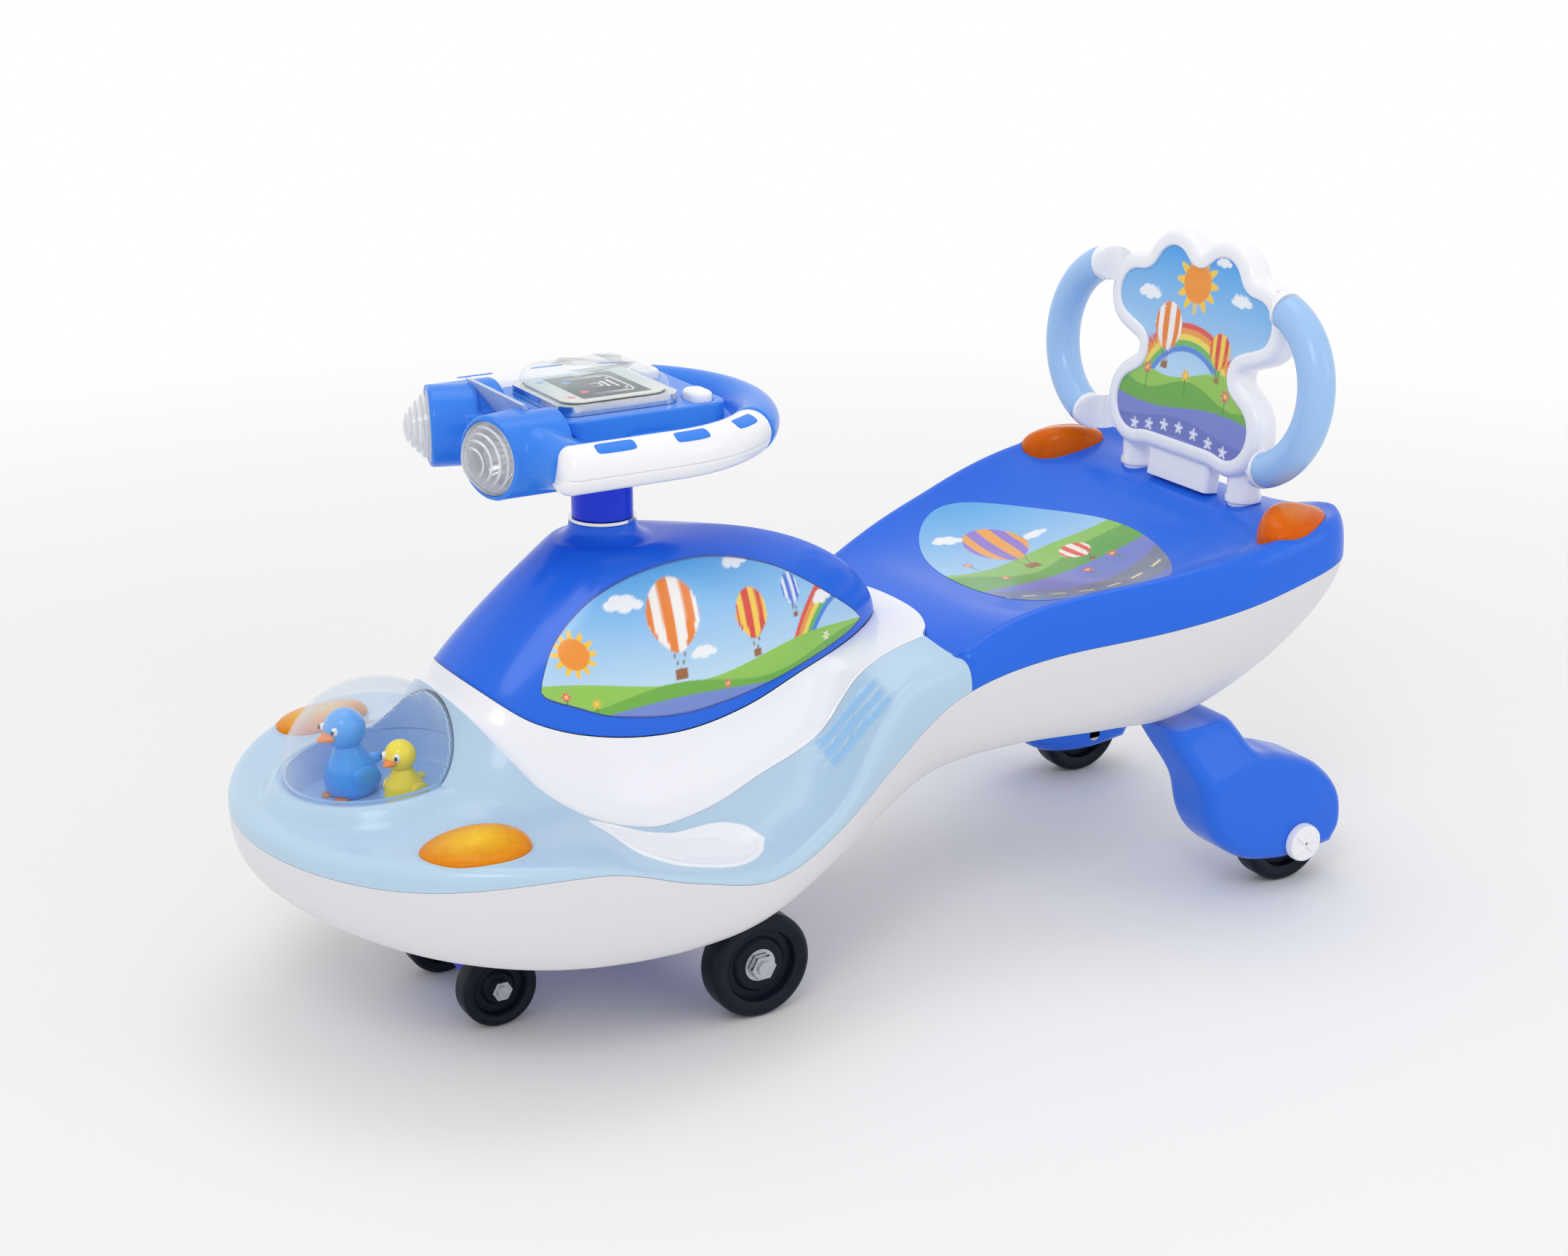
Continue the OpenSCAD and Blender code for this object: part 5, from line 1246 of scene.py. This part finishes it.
PRINT_INSET, PRINT_SUNK = 12.2, 2.0
flat = round_grid(panel - PRINT_INSET * normals_of(panel), np.array([PANEL_MID, 0.0]), PRINT_ROWS)
face = np.column_stack([np.full(len(flat), front + PRINT_SUNK), flat[:, 1], flat[:, 0]])
facing = np.array(on_back.to_3x3() @ Vector((-1, 0, 0)))
film("back_print", moved((face, []), on_back)[0], facing, PRINT_ROWS, back_picture(-flat[:, 1], flat[:, 0]),
     "chassis", "white_plastic", True)

# Rear legs
REAR_AXLE, LEG_TOP, KNEE, TRACK = TAIL_X - 36, BELLY_Z + 56, 90.0, 124.0
LEG_FRONT = [(0, -106), (0.12, -99), (0.3, -89), (0.48, -82), (0.64, -70), (0.8, -46), (0.92, -20), (1, 0)]
LEG_FRONT_Z = [(0, 0), (0.12, -18), (0.3, -44), (0.48, -70), (0.64, -88), (0.8, -104), (0.92, -110),
               (1, -111)]
LEG_BACK = [(0, -76), (0.12, -52), (0.3, -34), (0.48, -10), (0.64, 16), (0.8, 37), (0.92, 41), (1, 34)]
LEG_BACK_Z = [(0, 0), (0.12, 0), (0.3, -24), (0.48, -31), (0.64, -42), (0.8, -66), (0.92, -92), (1, -107)]
WHEEL_R, FOOT_IN, FOOT_OUT, TOP_IN, TOP_OUT, CAP_Y = 36.0, 26, 24, 46, 4, 148.3


def leg_ring(share, less):
    """Outline of a leg, less its edge rounding; share is 0 at the inner side and 1 at the outer side."""
    t = np.linspace(0, 1, 48)
    ahead = np.stack([through(LEG_FRONT, t), through(LEG_FRONT_Z, t)], 1)
    behind = np.stack([through(LEG_BACK, t), through(LEG_BACK_Z, t)], 1)
    middle = (ahead + behind) / 2
    keep = 1 - less / np.linalg.norm(ahead - middle, axis=1)[:, None]
    points = np.concatenate([middle + (ahead - middle) * keep, (middle + (behind - middle) * keep)[::-1]])
    down = np.concatenate([t, t[::-1]])
    x, z = REAR_AXLE + points[:, 0], LEG_TOP + points[:, 1] + less * down ** 3
    k = ease((z - KNEE) / (LEG_TOP - KNEE))
    y = mix(mix(TRACK - FOOT_IN, TRACK - TOP_IN, k), mix(TRACK + FOOT_OUT, TRACK + TOP_OUT, k), share)
    return np.stack([x, y, z], 1)


lows = [(0.24 * (1 - math.cos(v)), 10 * (1 - math.sin(v))) for v in quarter(9)]
verts, faces = skin([leg_ring(a, b) for a, b in lows + [(1 - a, b) for a, b in lows[::-1]]])
room = lathe([(WHEEL_R + 3, -11.6), (WHEEL_R + 3, 11.6)], 96)
cap = lathe([(0, 0), (14, 0), (14, 3.6), (13.2, 5.6), (12, 6), (9, 5.2), (0, 5.0)], 64)
bar = pillow(rounded_outline(-11, 11, 3.2, 1.4, 5), edge_levels(6.4, 0.6, 3.0))
for s, side in SIDES:
    leg = shell("leg_" + side, (verts * [1, s, 1], faces), BLUE, "blue_plastic", "rear_leg_" + side, 50)
    cut(leg, moved(room, place(REAR_AXLE, s * TRACK, WHEEL_R) @ spin(90, "X")))
    turn = place(REAR_AXLE, s * CAP_Y, WHEEL_R) @ spin(-90 * s, "X")
    kit = Kit().add(moved(cap, turn))
    for a in (45, 135):
        kit.add(moved(bar, turn @ spin(a, "Z")))
    kit.build("cap_" + side, [WHITE], "chassis", "white_plastic", ["hub_cap_" + side], 40)


# Wheels
def wheel(name, body, r, width, x, y, s, bore):
    """Moulded wheel: rounded tread, sunk web and a raised hub."""
    n, e, half = 96, width * 0.22, width / 2
    web, hub = half - 6.5, half - 4
    rim = [(r - e + e * math.sin(v), -half + e - e * math.cos(v)) for v in quarter(6)]
    rim += [(h, -k) for h, k in rim[::-1]]
    face = [(r - e - 1.5, half - 0.6), (r * 0.74, half - 1.0), (r * 0.7, half - 2), (r * 0.66, web),
            (bore + 8, web), (bore + 6.4, hub - 0.6), (bore + 5.6, hub), (bore, hub)]
    profile = [(h, -k) for h, k in face[::-1]] + rim + face
    verts, faces = lathe(profile, n)
    last = (len(profile) - 1) * n
    faces[-2:] = [[last + k, last + (k + 1) % n, (k + 1) % n, k] for k in range(n)]
    shape = moved((verts, faces), place(x, y, r) @ spin(-90 * s, "X"))
    shell(name, shape, BLACK, "wheel_black", body, 35, body)


WHEELS = [("big", WHEEL_R, 22, COLUMN_X + 45, 117, 11.03), ("guide", 26, 18, COLUMN_X - 107, 45, 4.06),
          ("rear", WHEEL_R, 22, REAR_AXLE, TRACK, 5.06)]
for s, side in SIDES:
    for kind, r, width, x, track, bore in WHEELS:
        wheel(kind + "_tyre_" + side, kind + "_wheel_" + side, r, width, x, s * track, s, bore)

# Steering wheel
HUB_Z, HUB_TOP, RIM_Z, RIM_MID, RIM_R = 354.6, 394.6, 377.6, 4.0, 96.0
on_column = place(COLUMN_X, 0, 0)
SPLAY = 18.0


def lamp_axis(s):
    """Frame of a headlight: its z axis runs out of the lens, turned a little outwards."""
    return on_column @ place(-98, s * 46, RIM_Z, -s * SPLAY) @ spin(-90, "Y")


barrel = lathe([(0, -30), (25, -30), (26.4, -28), (26.4, -1), (25.8, 0.5), (24.6, 1.1), (0, 1.1)], 96)
bore = lathe([(0, -29), (23.3, -29), (23.3, 1.3), (36, 1.3), (36, 24), (0, 24)], 96)
block = pillow(rounded_outline(-8, 22, 14, 2, 5), edge_levels(20, 1.5))
tongue = pillow(rounded_outline(2, 12, 18, 1.5, 5), edge_levels(14, 1.5))
thick = np.linspace(25.5, 15.2, 30) - 2 * np.sin(np.linspace(0, math.pi, 30))
added, bores = [], []
for s in (-1, 1):
    path = bent((-82, s * 46, RIM_Z), (-70, s * 60, RIM_Z), (-66, s * 70, RIM_Z), (-64, s * 92, RIM_Z), 30)
    added += [moved(barrel, lamp_axis(s)), moved(block, on_column @ place(0, s * 51, HUB_Z + 8)),
              moved(tongue, on_column @ place(0, s * 51, HUB_Z + 5)), moved(tube(path, thick), on_column)]
    bores.append(moved(bore, lamp_axis(s)))
cut(softened("wheel_frame_shell", "wheel_frame", 1.1, 5, AZURE, added), *bores)
softened("wheel_cover_shell", "wheel_cover", 1.0, 4, AZURE)


def rim_path(s):
    """Middle line of a rim grip: straight from the front, then round the rim; with its outward directions."""
    straight = np.linspace(-76, RIM_MID, 45, endpoint=False)
    a = np.linspace(math.pi / 2, math.radians(46.2), 45)
    p = np.concatenate([np.stack([straight, np.full(len(straight), s * RIM_R)], 1),
                        np.stack([RIM_MID + RIM_R * np.cos(a), s * RIM_R * np.sin(a)], 1)])
    out = np.concatenate([np.tile([0.0, s], (len(straight), 1)), np.stack([np.cos(a), s * np.sin(a)], 1)])
    return p, out


def on_rim(p, out, r, turn):
    """Points at radius r round the rim's middle line; turn 0 is outward and 90 degrees is up."""
    flat = p + out * (r * np.cos(turn))[:, None]
    return np.column_stack([flat, RIM_Z + r * np.sin(turn)])


GRIP_SEAM, GRIP_THICK = math.radians(-13), 15.0
PADS, PAD_ROWS, PAD_COLUMNS = ((0.13, 0.31), (0.47, 0.63), (0.77, 0.92)), 25, 17
turns = np.concatenate([turns_of(72), np.radians([-2.6, -1.6, -0.8, 0.8, 1.6, 2.6])])
turns = np.sort(turns) + GRIP_SEAM
off = (turns - GRIP_SEAM + math.pi) % (2 * math.pi) - math.pi
groove = 1.1 * np.exp(-(off / 0.026) ** 2)
u = np.repeat(np.linspace(-1, 1, PAD_ROWS), PAD_COLUMNS)
v = np.tile(np.linspace(-1, 1, PAD_COLUMNS), PAD_ROWS)
pad_at = (u * np.sqrt(1 - 0.28 * v ** 4) + 1) / 2
pad_turn = np.radians(62 + 19 * v * np.sqrt(1 - 0.28 * u ** 4))
edge = np.maximum(np.abs(u), np.abs(v))
pad_r = np.where(edge > 0.99, 14.2, np.where(edge > 0.86, 15.35, 15.75))
for s, side in SIDES:
    p, out = rim_path(s)
    last = len(p) - 1
    ends = {0: 5.0, 1: 2.6, 2: 1.2, 3: 0.4, last - 2: 0.15, last - 1: 0.4, last: 1.0}
    rings = []
    for i in range(len(p)):
        ring = on_rim(p[i], out[i], GRIP_THICK - groove - ends.get(i, 0), turns)
        ring[:, 0] += 1.8 * float(unit(1 - (p[i, 0] - p[0, 0]) / 24)) * np.sin(turns)
        rings.append(ring)
    kit = Kit().add(moved(closed(rings), on_column))
    for start, stop in PADS:
        at = mix(start, stop, pad_at) * last
        px, ox = (np.stack([np.interp(at, range(len(p)), c) for c in line.T], 1) for line in (p, out))
        under = on_rim(px, ox, np.full(len(at), 13.6), pad_turn)
        kit.add(moved(slab(on_rim(px, ox, pad_r, pad_turn), under, PAD_ROWS, PAD_COLUMNS), on_column), 1)
    kit.build("rim_grip_shell_" + side, [WHITE, AZURE], "steering", "white_plastic", ["rim_grip_" + side], 50)

# Headlights: stepped clear lens over a bright bowl with a bulb
steps = [(23, -14), (23, 0.6), (22.6, 1.4), (20.6, 2.6), (20.2, 4.4), (19.4, 5.2), (17.2, 6.2), (16.8, 8),
         (16, 8.8), (13.6, 9.8), (13.2, 11.4), (12.4, 12.2), (9.6, 13.2), (9.2, 14.4), (8.4, 15), (5, 16.2),
         (0, 17)]
wall = [(r - 1.4 if r > 2 else 0, h - 1.3) for r, h in steps[1:]]
verts, faces = lathe(steps + wall[::-1] + [(21.6, -14)], 96)
radius, height = np.hypot(verts[:, 0], verts[:, 1]), verts[:, 2]
# The risers of the steps take the milky white clear: painted bright rings where light through the steps would
# glint
risers = [int(np.ptp(height[list(f)]) > np.ptp(radius[list(f)])) for f in faces]
bowl = lathe([(0, -28), (22.9, -28), (22.9, -14.5), (22, -14.5), (18, -20), (12, -24.5), (5, -27),
              (0, -27.4)], 96)
bulb = lathe([(0, -27), (3.2, -27), (3.2, -19), (2.4, -16.6), (0, -15.6)], 32)
rib = tube([(21.6, 0, -15), (17.5, 0, -20.3), (11.5, 0, -24.6), (5.4, 0, -26.8)], [0.5, 0.6, 0.5, 0.3], 8)
for s, side in SIDES:
    at = lamp_axis(s)
    kit = Kit().add(moved((verts, faces), at))
    kit.kinds = risers
    kit.build("lens_" + side, [LENS_CLEAR, LENS_GLINT], "steering", "clear_plastic", ["headlight_" + side], 25)
    kit = Kit().add(moved(bowl, at)).add(moved(bulb, at), 1)
    for k in range(24):
        kit.add(moved(rib, at @ spin(15 * k, "Z")))
    kit.build("bowl_" + side, [CHROME, WHITE], "steering", "chrome", ["reflector_" + side], 40)

# Dash: chrome tray, generic dial card and a clear domed cover
dress(CHROME, "dash_frame", bevel=1.0)
outline = rounded_outline(-43, 35, 78, 14, 12)
bubble = [(1.4, 0), (0, 0.6), (0, 3.4), (0.5, 6), (1.8, 8.4), (4, 10.4), (8, 12.4), (13, 13.8), (20, 14.8),
          (28, 15.3)]
shape = moved(pillow(outline, bubble), on_column @ place(0, 0, HUB_TOP + 6.7))
shell("dash_bubble", shape, CLEAR, "clear_plastic", "dash_cover", 40, "steering")


def dash_picture(x, y):
    """Generic dial card, read from the seat."""
    art = Picture(x, y)
    art.fade(-36, 36, (236, 238, 232), (176, 206, 208))
    art.within(np.minimum(24 - np.abs(x + 2), 30 - np.abs(y)), (52, 74, 78))
    for cy in (-14, 14):
        art.oval(4, cy, 12, 12, (232, 236, 236))
        art.oval(4, cy, 10.5, 10.5, (24, 34, 42))
        d, a = art.polar(4, cy)
        art.within(np.minimum(1.1 - np.abs(d - 8), 3 * np.cos(8 * a) - 0.4), (240, 244, 240))
        art.within(np.minimum(0.7 - np.abs(y - cy - 0.5 * (x - 4)), np.minimum(4 - x, x + 4)), (236, 110, 40))
    for k, colour in enumerate(((232, 96, 120), (250, 206, 70), (92, 186, 120), (84, 150, 230))):
        art.oval(-17, 9 * k - 13.5, 3.2, 3.2, colour)
        art.star(-31, 15 * k - 22.5, 3.6, colour)
    return art


flat = round_grid(rounded_outline(-40, 32, 72, 12, 12), np.array([-4.0, 0.0]), CARD_ROWS)
spots = np.column_stack([flat + [COLUMN_X, 0], np.full(len(flat), HUB_TOP + 7.2)])
film("dash_card", spots, np.array([0.0, 0.0, 1.0]), CARD_ROWS, dash_picture(*flat.T),
     "steering", "board", True)

# Windscreen, buttons and small fittings
dress(FROST, "windscreen", bevel=0.8)
dome = [(0.6, -12), (0, -11)] + [(3.3 * (1 - math.cos(v)), 2.6 + 3.2 * math.sin(v)) for v in quarter(8)]
button = pillow(rounded_outline(-7.5, 7.5, 22, 6.5, 10), dome)
for s, side in SIDES:
    shape = moved(button, on_column @ place(51, s * 36, HUB_TOP))
    shell("button_cap_" + side, shape, WHITE, "white_plastic", "button_" + side, 50, "button_" + side)
dress(DEEP, "steering_column", "yoke", bevel=0.8)
dress(STEEL, "steering_shaft", "shaft_nut", "thrust_washer", "front_axle", "front_nuts", "guide_axle",
      "guide_nuts", "big_bearing_left", "big_bearing_right", "rear_axle_left", "rear_axle_right", bevel=0.3)
dress(CHROME, "collar_ring", bevel=0.4)
dress(WHITE, "upper_bush", "lower_bush", bevel=0.4)
dress(BOARD, "sound_board", bevel=0.2)
dress(INK, "battery_box", bevel=0.5)

# Stage, light and camera
FLOOR, ROOM_LIGHT = 12.0, 0.8
mesh = bpy.data.meshes.new("floor")
corners = [(-FLOOR, -FLOOR, 0), (FLOOR, -FLOOR, 0), (FLOOR, FLOOR, 0), (-FLOOR, FLOOR, 0)]
mesh.from_pydata(corners, [], [[0, 1, 2, 3]])
floor = put("floor", mesh)
look = Look("floor_pale", Roughness=0.75)
tones = [(0.3, (0.89, 0.89, 0.89, 1)), (0.7, (0.91, 0.91, 0.91, 1))]
look.drive("Base Color", look.colours(look.noise(0.8, 2), tones))
span = look.add("ShaderNodeVectorMath", {0: look.place}, operation="LENGTH").outputs["Value"]
look.drive("Alpha", look.ramp(span, 1.0, 0.0, 0.8, 1.9))
mesh.materials.append(look.material)

# White backdrop for the camera, clear walls and gloss; dimmer as light on the rest
world = bpy.data.worlds.new("studio")
scene.world = world
world.use_nodes = True
tree = world.node_tree
pick = tree.nodes.new("ShaderNodeMixShader")
for socket, strength in ((1, ROOM_LIGHT), (2, 1.0)):
    white = tree.nodes.new("ShaderNodeBackground")
    white.inputs["Color"].default_value = (1, 1, 1, 1)
    white.inputs["Strength"].default_value = strength
    tree.links.new(white.outputs[0], pick.inputs[socket])
rays = tree.nodes.new("ShaderNodeLightPath").outputs
share = rays["Is Camera Ray"]
for kind in ("Is Transmission Ray", "Is Glossy Ray"):
    either = tree.nodes.new("ShaderNodeMath")
    either.operation, either.use_clamp = "ADD", True
    tree.links.new(share, either.inputs[0])
    tree.links.new(rays[kind], either.inputs[1])
    share = either.outputs[0]
tree.links.new(share, pick.inputs[0])
tree.links.new(pick.outputs[0], tree.nodes["World Output"].inputs["Surface"])


def area_light(name, spot, aim, size, power):
    data = bpy.data.lights.new(name, "AREA")
    data.shape, data.size, data.energy = "DISK", size, power
    obj = put(name, data)
    obj.location = spot
    obj.rotation_euler = (Vector(aim) - Vector(spot)).to_track_quat("-Z", "Y").to_euler()


area_light("key", (-1.6, -1.7, 2.6), (0, 0, 0.2), 1.2, 16)
area_light("fill", (1.9, -2.2, 1.5), (0.1, 0, 0.2), 1.4, 5)
area_light("top", (0.2, 0.6, 2.8), (0, 0, 0.2), 1.6, 9)

data = bpy.data.cameras.new("photo_view")
camera = put("photo_view", data)
azimuth, elevation, distance = math.radians(-30.5), math.radians(18.9), 1.783
target = Vector((0, 0, 0.215))
level = math.cos(elevation)
behind = Vector((math.sin(azimuth) * level, -math.cos(azimuth) * level, math.sin(elevation)))
camera.location = target + behind * distance
camera.rotation_euler = (-behind).to_track_quat("-Z", "Y").to_euler()
data.sensor_width, data.lens = 36.0, 59.94
scene.camera = camera
scene.view_settings.view_transform = "Standard"
